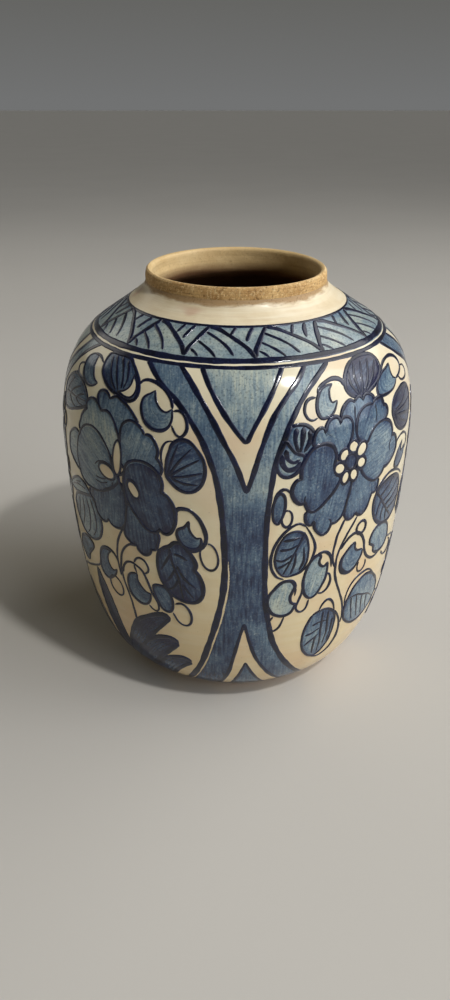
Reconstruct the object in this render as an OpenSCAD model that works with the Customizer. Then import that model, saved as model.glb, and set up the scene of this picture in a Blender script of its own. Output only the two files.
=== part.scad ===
// Ginger-jar shaped vase of tin-glazed earthenware with an open, bare-rimmed mouth.
// Origin: centre of the foot on the table. +Z is the axis of the wheel. Millimetres.
// The clay is drawn as the sections a potter throws and joins, each one meeting the
// next face to face, and the glaze and the raised cobalt rings lie on it as coats.

/* [Body] */
// Widest radius of the clay body
belly_r = 100; // [92:1:112]
// Height of the widest point above the table
belly_z = 144; // [136:1:150]
// Clay wall thickness
wall = 5; // [4:0.5:6]
// Height the lower wall stays nearly upright below the widest point
lower_pull = 118.5; // [100:0.5:122]
// Height the upper wall stays nearly upright above the widest point
upper_pull = 60.5; // [50:0.5:64]

/* [Foot] */
// Outer radius of the foot ring
foot_r = 68; // [62:1:72]
// Height of the foot ring, which is also the depth of the recess under the base
foot_h = 5; // [4.5:0.5:6]
// Width of the foot ring's bearing face
foot_w = 10; // [7:0.5:14]
// Bevel on the foot ring's lower edges
foot_bevel = 1; // [0.5:0.25:1.5]

/* [Collar and rim] */
// Radius where the shoulder meets the collar
collar_r = 59; // [57:0.5:62]
// Height where the shoulder meets the collar
collar_z = 219; // [216:0.5:221]
// Radius of the straight mouth
mouth_r = 45.7; // [44:0.1:46]
// Wall thickness of the bare rim
rim_w = 3.5; // [3:0.25:4.5]
// Height of the whole vase
height = 235; // [233:0.5:238]
// Height of the bare rim band
rim_h = 6; // [5:0.5:7]
// Length of the straight wall inside the mouth, measured down from the top
mouth_len = 12; // [10:0.5:13]

/* [Glaze and rings] */
// Thickness of the glaze coat
glaze = 0.4; // [0.3:0.1:0.8]
// Height a painted ring stands above the glaze
line_h = 0.2; // [0.1:0.05:0.4]
// Where along the lower curve the heel ends and the lower wall begins, from 0 to 1
heel_t = 0.5; // [0.4:0.01:0.6]
// Where along the upper curve the upper wall ends and the shoulder turn begins, from 0 to 1
turn_t = 0.3; // [0.2:0.01:0.4]
// Where along the upper wall the blue shoulder band begins, from 0 to 1
ring_t = 0.643; // [0.62:0.001:0.68]
// Width of the wide ring at the foot of the band, as a share of the upper wall
wide_t = 0.04; // [0.02:0.002:0.05]
// Width of the two narrow rings, as a share of the upper wall
thin_t = 0.024; // [0.01:0.002:0.03]
// Cream gap between the wide ring and the narrow one under it, as a share of the upper wall
gap_t = 0.026; // [0.01:0.002:0.04]

/* [Hidden] */
$fn = 96;
steps = 10;
neck_z = height - rim_h;
mouth_z = height - mouth_len;
lip_r = mouth_r + rim_w;
// Control points of the outer clay curve, radius and height
lower = [[foot_r, foot_h], [foot_r + 15, foot_h + 5.5], [belly_r, belly_z - lower_pull], [belly_r, belly_z]];
upper = [[belly_r, belly_z], [belly_r, belly_z + upper_pull],
         [collar_r + 18, collar_z - 13], [collar_r, collar_z]];
flare = [[collar_r, collar_z], [collar_r - 3.6, collar_z + 2.6],
         [lip_r + 0.6, neck_z - 4.2], [lip_r, neck_z]];

// Point on a cubic curve, its unit normal to the right of travel, and a point off the curve
function at(c, t) = pow(1 - t, 3) * c[0] + 3 * t * pow(1 - t, 2) * c[1]
    + 3 * t * t * (1 - t) * c[2] + pow(t, 3) * c[3];
function along(c, t) = pow(1 - t, 2) * (c[1] - c[0]) + 2 * t * (1 - t) * (c[2] - c[1])
    + t * t * (c[3] - c[2]);
function side(v) = [v[1], -v[0]] / norm(v);
function off(c, t, d) = at(c, t) + d * side(along(c, t));
// Run of points between two places on a curve, at distance d from it
function run(c, a, b, d) = [for (i = [0:steps]) off(c, a + (b - a) * i / steps, d)];
function back(p) = [for (i = [len(p) - 1:-1:0]) p[i]];
// The same run without its first point, to follow on from another run
function onward(c, a, b, d) = [for (i = [1:steps]) off(c, a + (b - a) * i / steps, d)];
// Whole profile from the foot to the blue band, and the band's own, on the sections' points
function under_band(d) = concat(run(lower, 0, heel_t, d), onward(lower, heel_t, 1, d),
    onward(upper, 0, turn_t, d), onward(upper, turn_t, ring_t, d));
function band(d) = onward(upper, ring_t, 1, d);
// Shell between distances d0 and d1 from a curve
function shell(c, a, b, d0, d1) = concat(run(c, a, b, d1), back(run(c, a, b, d0)));

floor_in = off(lower, 0, -wall);
floor_coat = off(lower, 0, -wall - glaze);
neck_in = off(upper, 1, -wall);
neck_coat = off(upper, 1, -wall - glaze);

// Turned ring of bare clay that the vase stands on
module foot_ring() color([0.72, 0.50, 0.34])
    rotate_extrude() polygon([[foot_r - foot_w + foot_bevel, 0], [foot_r - foot_bevel, 0],
        [foot_r, foot_bevel], [foot_r, foot_h], [foot_r - foot_w, foot_h],
        [foot_r - foot_w, foot_bevel]]);

// Floor of the vase
module base_slab() color([0.75, 0.54, 0.38])
    rotate_extrude() polygon([[0, foot_h], [foot_r, foot_h], floor_in, [0, floor_in[1]]]);

// Heel: the trimmed curve that carries the wall out from the floor
module heel() color([0.73, 0.52, 0.36])
    rotate_extrude() polygon(shell(lower, 0, heel_t, -wall, 0));

// Lower thrown wall, from the heel to the widest point
module lower_wall() color([0.76, 0.56, 0.40])
    rotate_extrude() polygon(shell(lower, heel_t, 1, -wall, 0));

// Upper thrown wall, above the widest point
module upper_wall() color([0.74, 0.54, 0.38])
    rotate_extrude() polygon(shell(upper, 0, turn_t, -wall, 0));

// Turn of the shoulder, collared in by hand as far as the blue band
module shoulder_turn() color([0.75, 0.55, 0.39])
    rotate_extrude() polygon(shell(upper, turn_t, ring_t, -wall, 0));

// Shoulder slope, from the blue band's foot to the collar
module shoulder() color([0.77, 0.57, 0.41])
    rotate_extrude() polygon(shell(upper, ring_t, 1, -wall, 0));

// Collar that rises from the shoulder, with a straight mouth inside
module neck_collar() color([0.78, 0.60, 0.42])
    rotate_extrude() polygon(concat(run(flare, 0, 1, 0),
        [[mouth_r, neck_z], [mouth_r, mouth_z],
         [mouth_r + 0.9, mouth_z - 2.2], [mouth_r + 3.4, mouth_z - 4.4], neck_in]));

// Bare rounded rim band
module rim_lip() color([0.70, 0.55, 0.34])
    rotate_extrude() polygon([[mouth_r, neck_z], [lip_r, neck_z], [lip_r + 0.25, neck_z + rim_h * 0.4],
        [lip_r, height - 1.2], [lip_r - 0.5, height - 0.4], [lip_r - 1.3, height],
        [mouth_r + 0.9, height], [mouth_r + 0.25, height - 0.3], [mouth_r, height - 0.8]]);

// Glaze poured round the inside, wiped off below the mouth
module inner_glaze() color([0.80, 0.74, 0.60])
    rotate_extrude() polygon(concat([[0, floor_in[1]]], under_band(-wall), band(-wall),
        back(band(-wall - glaze)), back(under_band(-wall - glaze)), [[0, floor_coat[1]]]));

// Cream glaze from the foot up to the blue band
module body_glaze() color([0.84, 0.78, 0.62])
    rotate_extrude() polygon(concat(under_band(glaze), back(under_band(0))));

// Blue washed glaze of the shoulder band
module shoulder_glaze() color([0.45, 0.55, 0.66])
    rotate_extrude() polygon(shell(upper, ring_t, 1, 0, glaze));

// Thin pale glaze on the outside of the collar
module collar_glaze() color([0.85, 0.80, 0.69])
    rotate_extrude() polygon(shell(flare, 0, 0.98, 0, glaze));

// One painted ring, from place a to place b on the upper wall
module ring(a, b)
    rotate_extrude() polygon([off(upper, a, glaze), off(upper, a + (b - a) * 0.2, glaze + line_h),
        off(upper, a + (b - a) * 0.8, glaze + line_h), off(upper, b, glaze)]);

// Painted cobalt rings: two below the shoulder band and one at the foot of the collar
module ring_lines() color([0.08, 0.10, 0.26]) {
    ring(ring_t - gap_t - thin_t, ring_t - gap_t);
    ring(ring_t, ring_t + wide_t);
    ring(1 - thin_t, 1);
}

foot_ring();
base_slab();
heel();
lower_wall();
upper_wall();
shoulder_turn();
shoulder();
neck_collar();
rim_lip();
inner_glaze();
body_glaze();
shoulder_glaze();
collar_glaze();
ring_lines();
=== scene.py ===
"""Looks of the talavera vase: glaze and clay skins turned round the wheel axis, and the
cobalt painting laid on them as low relief, wash by wash and stroke by stroke.

A place on the pot is (az, s): az in degrees round the axis, 0 facing -Y and growing
towards +X, and s in millimetres along the outer profile, up from the foot.
"""
import math
import bpy
import numpy as np
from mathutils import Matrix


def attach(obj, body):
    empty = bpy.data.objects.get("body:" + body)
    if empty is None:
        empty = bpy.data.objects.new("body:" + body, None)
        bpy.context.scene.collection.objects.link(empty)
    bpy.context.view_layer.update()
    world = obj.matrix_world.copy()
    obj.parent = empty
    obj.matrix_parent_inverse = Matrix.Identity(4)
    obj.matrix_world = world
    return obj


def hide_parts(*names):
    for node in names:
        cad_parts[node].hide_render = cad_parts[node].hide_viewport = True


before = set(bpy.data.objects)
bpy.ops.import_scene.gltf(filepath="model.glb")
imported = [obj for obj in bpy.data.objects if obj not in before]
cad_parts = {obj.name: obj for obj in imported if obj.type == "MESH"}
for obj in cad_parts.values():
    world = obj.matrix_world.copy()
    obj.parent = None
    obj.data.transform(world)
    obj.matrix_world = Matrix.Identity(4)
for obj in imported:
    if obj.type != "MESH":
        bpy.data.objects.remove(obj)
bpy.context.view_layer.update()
MM = 0.001

# ---------------------------------------------------------------- driving sizes, from the frame


def reach(node):
    """Largest radius, lowest z and highest z of a CAD node, in mm."""
    co = np.array([v.co[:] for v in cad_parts[node].data.vertices]) / MM
    return np.hypot(co[:, 0], co[:, 1]).max(), co[:, 2].min(), co[:, 2].max()


FOOT_R, _, FOOT_H = reach("foot_ring")
BELLY_R, _, BELLY_Z = reach("lower_wall")
COLLAR_R = reach("neck_collar")[0]
COLLAR_Z = reach("shoulder")[2]
RIM_R, RIM_Z, TOP_Z = reach("rim_lip")
BAND_R = reach("shoulder_glaze")[0]
GLAZE = reach("body_glaze")[0] - BELLY_R
LIP_BULGE = 0.25    # mm the lip's widest line stands out past its lower edge
RIM_WALL = 3.5      # mm of clay in the bare rim
WALL = 5.0          # mm of clay in the wall, from the heel to the shoulder
LIP_R = RIM_R - LIP_BULGE
MOUTH_R = LIP_R - RIM_WALL
CURVE_STEPS = 300   # points along each of the two long curves of the outside

# Control points of the clay's outer curve, as the potter's rib would run
LOWER = [(FOOT_R, FOOT_H), (FOOT_R + 15, FOOT_H + 5.5), (BELLY_R, BELLY_Z - 118.5), (BELLY_R, BELLY_Z)]
UPPER = [(BELLY_R, BELLY_Z), (BELLY_R, BELLY_Z + 60.5), (COLLAR_R + 18, COLLAR_Z - 13),
         (COLLAR_R, COLLAR_Z)]
FLARE = [(COLLAR_R, COLLAR_Z), (COLLAR_R - 3.6, COLLAR_Z + 2.6), (LIP_R + 0.6, RIM_Z - 4.2), (LIP_R, RIM_Z)]


def bezier(c, n, off):
    """n points of a cubic curve, moved off it along its outward normal."""
    c = np.array(c, float)
    t = np.linspace(0, 1, n)[:, None]
    p = (1 - t) ** 3 * c[0] + 3 * t * (1 - t) ** 2 * c[1] + 3 * t * t * (1 - t) * c[2] + t ** 3 * c[3]
    d = (1 - t) ** 2 * (c[1] - c[0]) + 2 * t * (1 - t) * (c[2] - c[1]) + t * t * (c[3] - c[2])
    nrm = np.stack([d[:, 1], -d[:, 0]], 1) / np.linalg.norm(d, axis=1)[:, None]
    return p + off * nrm, nrm


class Profile:
    """A line of radius and height with its normals, looked up by distance along it."""

    def __init__(self, points, normals=None):
        self.p = np.array(points, float)
        if normals is None:
            d = np.gradient(self.p, axis=0)
            normals = np.stack([d[:, 1], -d[:, 0]], 1) / np.linalg.norm(d, axis=1)[:, None]
        self.n = np.array(normals, float)
        self.s = np.r_[0, np.cumsum(np.linalg.norm(np.diff(self.p, axis=0), axis=1))]
        self.length = self.s[-1]

    def at(self, s):
        r, z = (np.interp(s, self.s, self.p[:, i]) for i in (0, 1))
        nr, nz = (np.interp(s, self.s, self.n[:, i]) for i in (0, 1))
        return r, z, nr, nz


low, low_n = bezier(LOWER, CURVE_STEPS, GLAZE)
up, up_n = bezier(UPPER, CURVE_STEPS, GLAZE)
SKIN = Profile(np.vstack([low, up[1:]]), np.vstack([low_n, up_n[1:]]))
fl, fl_n = bezier(FLARE, 60, GLAZE)
COLLAR = Profile(fl, fl_n)
above_belly = SKIN.s > SKIN.s[CURVE_STEPS - 1]
BAND_S = float(np.interp(-BAND_R, -SKIN.p[above_belly, 0], SKIN.s[above_belly]))
TOP_S = SKIN.length


def ease(x):
    x = np.clip(x, 0, 1)
    return x * x * (3 - 2 * x)


def wander(az, z):
    """Hand-thrown unevenness in mm: radius change, sideways lean and the mouth's tilt."""
    a = np.radians(az)
    grow = ease((z - FOOT_H) / 40)
    dr = grow * (0.30 * np.cos(2 * (a - 0.7)) + 0.16 * np.cos(3 * (a + 1.2)))
    dr = dr + grow * 0.05 * np.sin(z * 0.78 + 0.9 * np.sin(z * 0.11) + a)
    dr = dr - 0.7 * ease((z - 216) / 10)
    lean = 0.9 * ease((z - 140) / 60) - 1.2 * ease((z - 212) / 20)
    rise = ease((z - 208) / 20) * (0.6 - 1.3 * np.cos(a))
    return dr, lean, rise


def place(prof, az, s, lift):
    """Points in metres on a profile, raised by lift mm along the normal."""
    r, z, nr, nz = prof.at(s)
    dr, lean, rise = wander(az, z)
    a = np.radians(az)
    rr = r + dr + lift * nr
    return np.stack([rr * np.sin(a) + lean, -rr * np.cos(a), z + rise + lift * nz], -1) * MM


def mm_per_deg(s):
    return SKIN.at(s)[0] * math.pi / 180


# ---------------------------------------------------------------- mesh helpers


def add_object(name, verts, faces, mat, attrs):
    """A smooth-shaded mesh object with its per-point attributes."""
    me = bpy.data.meshes.new(name)
    me.from_pydata(np.asarray(verts, float).tolist(), [], [list(map(int, f)) for f in faces])
    me.validate()
    me.polygons.foreach_set("use_smooth", [True] * len(me.polygons))
    for key, val in attrs.items():
        val = np.asarray(val, np.float32)
        if val.ndim == 1:
            me.attributes.new(key, "FLOAT", "POINT").data.foreach_set("value", val)
        else:
            me.attributes.new(key, "FLOAT_VECTOR", "POINT").data.foreach_set("vector", val.ravel())
    me.materials.append(mat)
    ob = bpy.data.objects.new(name, me)
    bpy.context.scene.collection.objects.link(ob)
    return ob


def grid_faces(n, m, wrap=False, start=0, flip=False):
    """Quads of an n by m grid of vertices; wrap joins the last row to the first."""
    i, j = np.meshgrid(np.arange(n if wrap else n - 1), np.arange(m - 1), indexing="ij")
    i2 = (i + 1) % n
    f = np.stack([i * m + j, i2 * m + j, i2 * m + j + 1, i * m + j + 1], -1).reshape(-1, 4) + start
    return f[:, ::-1] if flip else f


def turned(name, prof, rows, mat, around=360, flip=False, rough=None):
    """A skin turned round the axis from a profile; rows are the distances along it."""
    az, s = np.meshgrid(np.arange(around) * 360 / around, rows, indexing="ij")
    lift = np.zeros(az.shape)
    if rough is not None:
        lift = lift + rough(az, s)
    verts = place(prof, az, s, lift).reshape(-1, 3)
    return add_object(name, verts, grid_faces(around, len(rows), True, flip=flip), mat,
                      {"along": s.ravel()})


def ripple(az, s, seed, steps, amp):
    """Smooth seeded unevenness over azimuth and distance, in mm."""
    r = np.random.default_rng(seed)
    out = np.zeros(az.shape)
    for k in range(steps):
        n = r.integers(2, 9 + 9 * k)
        out += np.cos(np.radians(az) * n + r.uniform(0, 6.3) + s * r.uniform(0.1, 1.4)) / (1 + k * 0.5)
    return amp * out / steps


# ---------------------------------------------------------------- materials


def srgb(r, g, b):
    """Display colour, 0 to 255, as the linear colour that nodes take."""
    return tuple(((c / 255 + 0.055) / 1.055) ** 2.4 if c > 10 else c / 3294 for c in (r, g, b)) + (1.0,)


class Nodes:
    """Short way to build a material's node tree."""

    def __init__(self, name, rough, spec=0.5):
        self.mat = bpy.data.materials.new(name)
        self.mat.use_nodes = True
        self.tree = self.mat.node_tree
        self.bsdf = self.tree.nodes["Principled BSDF"]
        self.bsdf.inputs["Roughness"].default_value = rough
        self.bsdf.inputs["Specular IOR Level"].default_value = spec
        self.coord = self.add("ShaderNodeTexCoord").outputs["Object"]

    def add(self, kind, ins=None, **props):
        n = self.tree.nodes.new(kind)
        for k, v in props.items():
            setattr(n, k, v)
        for k, v in (ins or {}).items():
            self.feed(n.inputs[k], v)
        return n

    def feed(self, socket, v):
        if isinstance(v, bpy.types.NodeSocket):
            self.tree.links.new(v, socket)
        else:
            socket.default_value = v

    def scaled(self, x, y, z, vector=None):
        """Coordinates multiplied by (x, y, z)."""
        return self.add("ShaderNodeVectorMath", {0: vector or self.coord, 1: (x, y, z)},
                        operation="MULTIPLY").outputs[0]

    def noise(self, scale, detail=2.0, rough=0.5, vector=None, distort=0.0):
        return self.add("ShaderNodeTexNoise", {"Vector": vector or self.coord, "Scale": scale,
                                               "Detail": detail, "Roughness": rough,
                                               "Distortion": distort}).outputs["Fac"]

    def cells(self, scale):
        return self.add("ShaderNodeTexVoronoi", {"Vector": self.coord, "Scale": scale}).outputs["Distance"]

    def math(self, op, a, b=0.0, c=0.0, clamp=False):
        return self.add("ShaderNodeMath", {0: a, 1: b, 2: c}, operation=op, use_clamp=clamp).outputs[0]

    def span(self, v, lo, hi, to_lo=0.0, to_hi=1.0):
        """Maps lo..hi to to_lo..to_hi, clamped."""
        return self.add("ShaderNodeMapRange", {"Value": v, "From Min": lo, "From Max": hi,
                                               "To Min": to_lo, "To Max": to_hi}).outputs[0]

    def mix(self, fac, a, b, blend="MIX"):
        n = self.tree.nodes.new("ShaderNodeMix")
        n.data_type, n.blend_type = "RGBA", blend
        self.feed(n.inputs["Factor"], fac)
        self.feed(n.inputs["A"], a)
        self.feed(n.inputs["B"], b)
        return n.outputs["Result"]

    def ramp(self, v, stops):
        n = self.tree.nodes.new("ShaderNodeValToRGB")
        el = n.color_ramp.elements
        while len(el) < len(stops):
            el.new(0.5)
        for e, (pos, col) in zip(el, stops):
            e.position, e.color = pos, col
        self.feed(n.inputs["Fac"], v)
        return n.outputs["Color"]

    def attr(self, name, vector=False):
        n = self.add("ShaderNodeAttribute", attribute_name=name)
        return n.outputs["Vector" if vector else "Fac"]

    def bump(self, height, strength, distance):
        self.tree.links.new(self.add("ShaderNodeBump", {"Height": height, "Strength": strength,
                                                        "Distance": distance}).outputs[0],
                            self.bsdf.inputs["Normal"])

    def colour(self, c):
        self.feed(self.bsdf.inputs["Base Color"], c)

    def rough(self, v):
        self.feed(self.bsdf.inputs["Roughness"], v)


def cream_glaze():
    """Cream tin glaze: darker and more ochre low down, a painted shade, and ochre in drifts; brushy, with
    pinholes and iron specks.
    """
    m = Nodes("cream_glaze", 0.12)
    z = m.add("ShaderNodeSeparateXYZ", {0: m.coord}).outputs["Z"]
    drift = m.noise(14, 3, 0.55, distort=0.6)
    # low: darker, more ochre colour towards the bottom, painted shade of the lower wall; the drift noise
    # breaks its edge
    low = m.span(m.math("ADD", z, m.math("MULTIPLY", m.math("SUBTRACT", drift, 0.5), 0.12)),
                 0.01, 0.20, 1, 0)
    base = m.ramp(low, [(0.0, srgb(234, 225, 196)), (0.5, srgb(229, 212, 172)), (1.0, srgb(221, 195, 148))])
    mottle = m.span(m.noise(70, 4, 0.6), 0.35, 0.7)
    base = m.mix(m.math("MULTIPLY", mottle, 0.28), base, srgb(214, 192, 142))
    wipe = m.noise(1, 4, 0.6, vector=m.scaled(26, 26, 210))
    base = m.mix(m.span(wipe, 0.45, 0.75, 0, 0.25), base, srgb(240, 232, 206))
    blush = m.span(m.noise(24, 2, 0.5), 0.5, 0.72, 0, 0.4)
    base = m.mix(blush, base, srgb(214, 170, 126))
    speck = m.span(m.cells(420), 0.0, 0.12, 0.8, 0)
    where = m.span(m.noise(120, 1), 0.50, 0.58)
    base = m.mix(m.math("MULTIPLY", speck, where), base, srgb(104, 74, 46))
    m.colour(base)
    m.rough(m.span(m.noise(160, 3), 0.3, 0.75, 0.08, 0.17))
    pits = m.span(m.cells(300), 0.0, 0.16, 0, 1)
    m.bump(m.math("ADD", m.math("MULTIPLY", m.noise(90, 3), 0.8), m.math("MULTIPLY", pits, 0.35)),
           0.10, 0.0006)
    return m.mat


def wash_colours(m, t):
    """Colour of a cobalt wash from thin (0) to thick (1)."""
    return m.ramp(t, [(0.0, srgb(186, 192, 176)), (0.25, srgb(140, 156, 158)), (0.5, srgb(92, 114, 132)),
                      (0.75, srgb(54, 72, 98)), (0.9, srgb(32, 42, 68)), (1.0, srgb(26, 26, 58))])


def grainy(m, base, t, amount):
    """Granular cobalt: fine dark grains, and pale ones where the wash is thin."""
    fine = m.noise(950, 2, 0.7)
    base = m.mix(m.span(fine, 0.5, 0.72, 0, amount), base, srgb(26, 36, 62))
    pale = m.math("MULTIPLY", m.span(m.noise(820, 2, 0.7), 0.54, 0.76), m.span(t, 0.2, 0.9, amount, 0.06))
    return m.mix(pale, base, srgb(188, 196, 188))


def wash():
    """Cobalt wash: brush streaks along each petal or leaf, mottled, pooled at its edge."""
    m = Nodes("cobalt_wash", 0.13)
    flow = m.attr("flow", True)
    tone, edge = m.attr("tone"), m.attr("edge")
    streak = m.noise(1, 3, 0.65, vector=m.scaled(0.8, 0.07, 3.1, flow))
    mottle = m.noise(85, 3, 0.6)
    pool = m.noise(38, 2, 0.5, distort=0.5)
    t = m.math("MULTIPLY_ADD", m.math("SUBTRACT", streak, 0.5), 0.85, tone)
    t = m.math("MULTIPLY_ADD", m.math("SUBTRACT", mottle, 0.5), 0.55, t)
    t = m.math("MULTIPLY_ADD", m.math("SUBTRACT", pool, 0.5), 0.70, t)
    t = m.math("MULTIPLY_ADD", m.span(edge, 0.72, 1.0), 0.12, t, clamp=True)
    m.colour(grainy(m, wash_colours(m, t), t, 0.62))
    m.rough(m.span(mottle, 0.3, 0.7, 0.09, 0.2))
    m.bump(m.math("ADD", streak, m.math("MULTIPLY", m.noise(900, 2), 0.4)), 0.10, 0.0004)
    return m.mat


def band_wash():
    """Thin blue wash brushed round the shoulder over the cream glaze."""
    m = Nodes("band_wash", 0.14)
    ring = m.attr("along")
    turn = m.noise(1, 3, 0.6, vector=m.scaled(60, 60, 420))
    mottle = m.noise(75, 4, 0.62)
    t = m.math("MULTIPLY_ADD", m.math("SUBTRACT", mottle, 0.5), 0.8, 0.22)
    t = m.math("MULTIPLY_ADD", m.math("SUBTRACT", turn, 0.5), 0.35, t)
    t = m.math("ADD", t, m.span(ring, TOP_S - 5, TOP_S, 0, 0.22), clamp=True)
    m.colour(grainy(m, wash_colours(m, t), t, 0.7))
    m.rough(m.span(mottle, 0.3, 0.7, 0.09, 0.2))
    m.bump(m.math("ADD", turn, m.math("MULTIPLY", m.noise(900, 2), 0.4)), 0.10, 0.0004)
    return m.mat


def cobalt_line():
    """Raised cobalt: near-black navy where thick, bluer and violet where thin."""
    m = Nodes("cobalt_line", 0.16)
    thin = m.span(m.attr("edge"), 0.5, 1.0)
    patch = m.noise(110, 3, 0.6)
    base = m.mix(m.span(patch, 0.35, 0.7), srgb(10, 13, 28), srgb(24, 30, 58))
    base = m.mix(m.math("MULTIPLY", thin, 0.4), base, srgb(42, 48, 84))
    base = m.mix(m.span(m.noise(900, 2), 0.58, 0.8, 0, 0.3), base, srgb(70, 84, 116))
    m.colour(base)
    m.rough(m.span(m.noise(300, 2), 0.3, 0.7, 0.11, 0.24))
    m.bump(m.noise(700, 3), 0.12, 0.0003)
    return m.mat


def pale_glaze():
    """Thin pale glaze of the collar, stained brown where it meets the bare rim."""
    m = Nodes("pale_glaze", 0.35, 0.4)
    up = m.attr("along")
    wave = m.noise(1, 4, 0.65, vector=m.scaled(34, 34, 120))
    stain = m.span(m.math("MULTIPLY_ADD", m.math("SUBTRACT", wave, 0.5), 12.0, up),
                   COLLAR.length - 3.2, COLLAR.length - 1.4)
    base = m.mix(m.span(m.noise(55, 4, 0.6), 0.35, 0.7, 0, 0.7), srgb(234, 220, 188), srgb(212, 190, 150))
    base = m.mix(m.span(m.noise(1, 3, 0.6, vector=m.scaled(30, 30, 700)), 0.5, 0.75, 0, 0.45), base,
                 srgb(244, 236, 214))
    base = m.mix(m.span(m.noise(1, 3, 0.6, vector=m.scaled(22, 22, 500)), 0.58, 0.8, 0, 0.4), base,
                 srgb(176, 142, 100))
    base = m.mix(m.span(m.noise(48, 1), 0.66, 0.74, 0, 0.4), base, srgb(190, 132, 106))
    base = m.mix(m.math("MULTIPLY", stain, 0.85), base, srgb(160, 124, 76))
    grain = m.span(m.noise(900, 2, 0.7), 0.56, 0.74, 0, 0.6)
    base = m.mix(m.math("MULTIPLY", grain, stain), base, srgb(96, 66, 36))
    m.colour(base)
    m.rough(m.span(stain, 0, 1, 0.3, 0.62))
    m.bump(m.math("ADD", m.noise(150, 4), m.noise(1, 2, vector=m.scaled(60, 60, 1400))), 0.25, 0.0004)
    return m.mat


def bare_rim():
    """Bare ochre-brown rim: sandy grain, dark iron specks, paler rubbed edge and turning lines."""
    m = Nodes("bare_rim", 0.78, 0.3)
    z = m.add("ShaderNodeSeparateXYZ", {0: m.coord}).outputs["Z"]
    base = m.mix(m.span(m.noise(70, 4, 0.65), 0.3, 0.72), srgb(176, 134, 80), srgb(222, 184, 124))
    lines = m.noise(1, 3, 0.6, vector=m.scaled(22, 22, 1300))
    base = m.mix(m.span(lines, 0.48, 0.74, 0, 0.55), base, srgb(130, 92, 50))
    base = m.mix(m.span(m.noise(780, 3, 0.75), 0.52, 0.66, 0, 0.8), base, srgb(236, 208, 154))
    base = m.mix(m.span(m.noise(640, 3, 0.75), 0.55, 0.7, 0, 0.85), base, srgb(92, 62, 32))
    worn = m.math("MULTIPLY", m.span(z, (TOP_Z - 1.2) * MM, (TOP_Z - 0.1) * MM),
                  m.span(m.noise(60, 3), 0.35, 0.6))
    base = m.mix(m.math("MULTIPLY", worn, 0.7), base, srgb(234, 208, 156))
    m.colour(base)
    m.rough(m.span(m.noise(300, 2), 0.3, 0.7, 0.62, 0.86))
    m.bump(m.math("ADD", m.noise(900, 3, 0.7), lines), 0.6, 0.0006)
    return m.mat


def inside_clay():
    """Wiped tan clay of the mouth, sinking to a darker glaze deep inside, darkened further as painted shade
    of the hollow.
    """
    m = Nodes("inside_glaze", 0.55, 0.4)
    z = m.add("ShaderNodeSeparateXYZ", {0: m.coord}).outputs["Z"]
    wave = m.math("MULTIPLY", m.math("SUBTRACT", m.noise(28, 3), 0.5), 0.008)
    # deep: darker and glossier below the mouth, partly a darker glaze and partly painted shade inside the
    # jar's hollow
    deep = m.span(m.math("ADD", z, wave), (TOP_Z - 6.5) * MM, (TOP_Z - 12.5) * MM)
    tan = m.mix(m.span(m.noise(60, 4, 0.6), 0.3, 0.7), srgb(222, 194, 142), srgb(202, 170, 116))
    tan = m.mix(m.span(m.noise(1, 3, vector=m.scaled(24, 24, 900)), 0.5, 0.75, 0, 0.35), tan,
                srgb(168, 132, 82))
    tan = m.mix(m.span(m.noise(700, 2, 0.7), 0.58, 0.76, 0, 0.4), tan, srgb(140, 104, 62))
    dark = m.mix(m.span(m.noise(40, 3), 0.3, 0.7), srgb(126, 92, 62), srgb(96, 68, 46))
    m.colour(m.mix(deep, tan, dark))
    m.rough(m.span(deep, 0, 1, 0.6, 0.42))
    m.bump(m.math("ADD", m.noise(1, 3, vector=m.scaled(30, 30, 1000)), m.noise(700, 2)), 0.25, 0.0005)
    return m.mat


def foot_clay():
    """Bare fired clay of the foot and base, turned and rubbed."""
    m = Nodes("foot_clay", 0.8, 0.3)
    x, y = (m.add("ShaderNodeSeparateXYZ", {0: m.coord}).outputs[k] for k in ("X", "Y"))
    radius = m.math("SQRT", m.math("ADD", m.math("MULTIPLY", x, x), m.math("MULTIPLY", y, y)))
    wob = m.math("MULTIPLY_ADD", m.noise(20, 2), 0.004, radius)
    rings = m.noise(1, 3, 0.6, vector=m.add("ShaderNodeCombineXYZ",
                                            {0: m.math("MULTIPLY", wob, 1400)}).outputs[0])
    base = m.mix(m.span(m.noise(60, 4, 0.6), 0.3, 0.7), srgb(176, 132, 90), srgb(206, 166, 120))
    base = m.mix(m.span(rings, 0.45, 0.75, 0, 0.5), base, srgb(146, 104, 68))
    base = m.mix(m.span(m.noise(900, 2, 0.7), 0.6, 0.8, 0, 0.6), base, srgb(104, 72, 46))
    base = m.mix(m.span(m.noise(12, 3), 0.55, 0.75, 0, 0.6), base, srgb(214, 188, 150))
    m.colour(base)
    m.bump(m.math("ADD", rings, m.noise(900, 3, 0.7)), 0.4, 0.0005)
    return m.mat


MAT = {"cream": cream_glaze(), "wash": wash(), "band": band_wash(), "line": cobalt_line(),
       "pale": pale_glaze(), "rim": bare_rim(), "inside": inside_clay(), "foot": foot_clay()}

# ---------------------------------------------------------------- brush work


def curve_through(points, step=0.8, closed=False):
    """Smooth curve through (az, s) points, sampled every step mm."""
    p = np.array([q[:2] for q in points], float)
    if closed:
        q = np.vstack([p[-1], p, p[0], p[1]])
    else:
        q = np.vstack([2 * p[0] - p[1], p, 2 * p[-1] - p[-2]])
    out = []
    for i in range(1, len(q) - 2):
        a, b, c, d = q[i - 1:i + 3]
        gap = math.hypot((c[0] - b[0]) * mm_per_deg((b[1] + c[1]) / 2), c[1] - b[1])
        n = max(2, int(math.ceil(gap / step)))
        t = np.linspace(0, 1, n, endpoint=False)[:, None]
        out.append(0.5 * (2 * b + (c - a) * t + (2 * a - 5 * b + 4 * c - d) * t ** 2
                          + (3 * b - a - 3 * c + d) * t ** 3))
    if not closed:
        out.append(p[-1:])
    return np.vstack(out)


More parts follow.
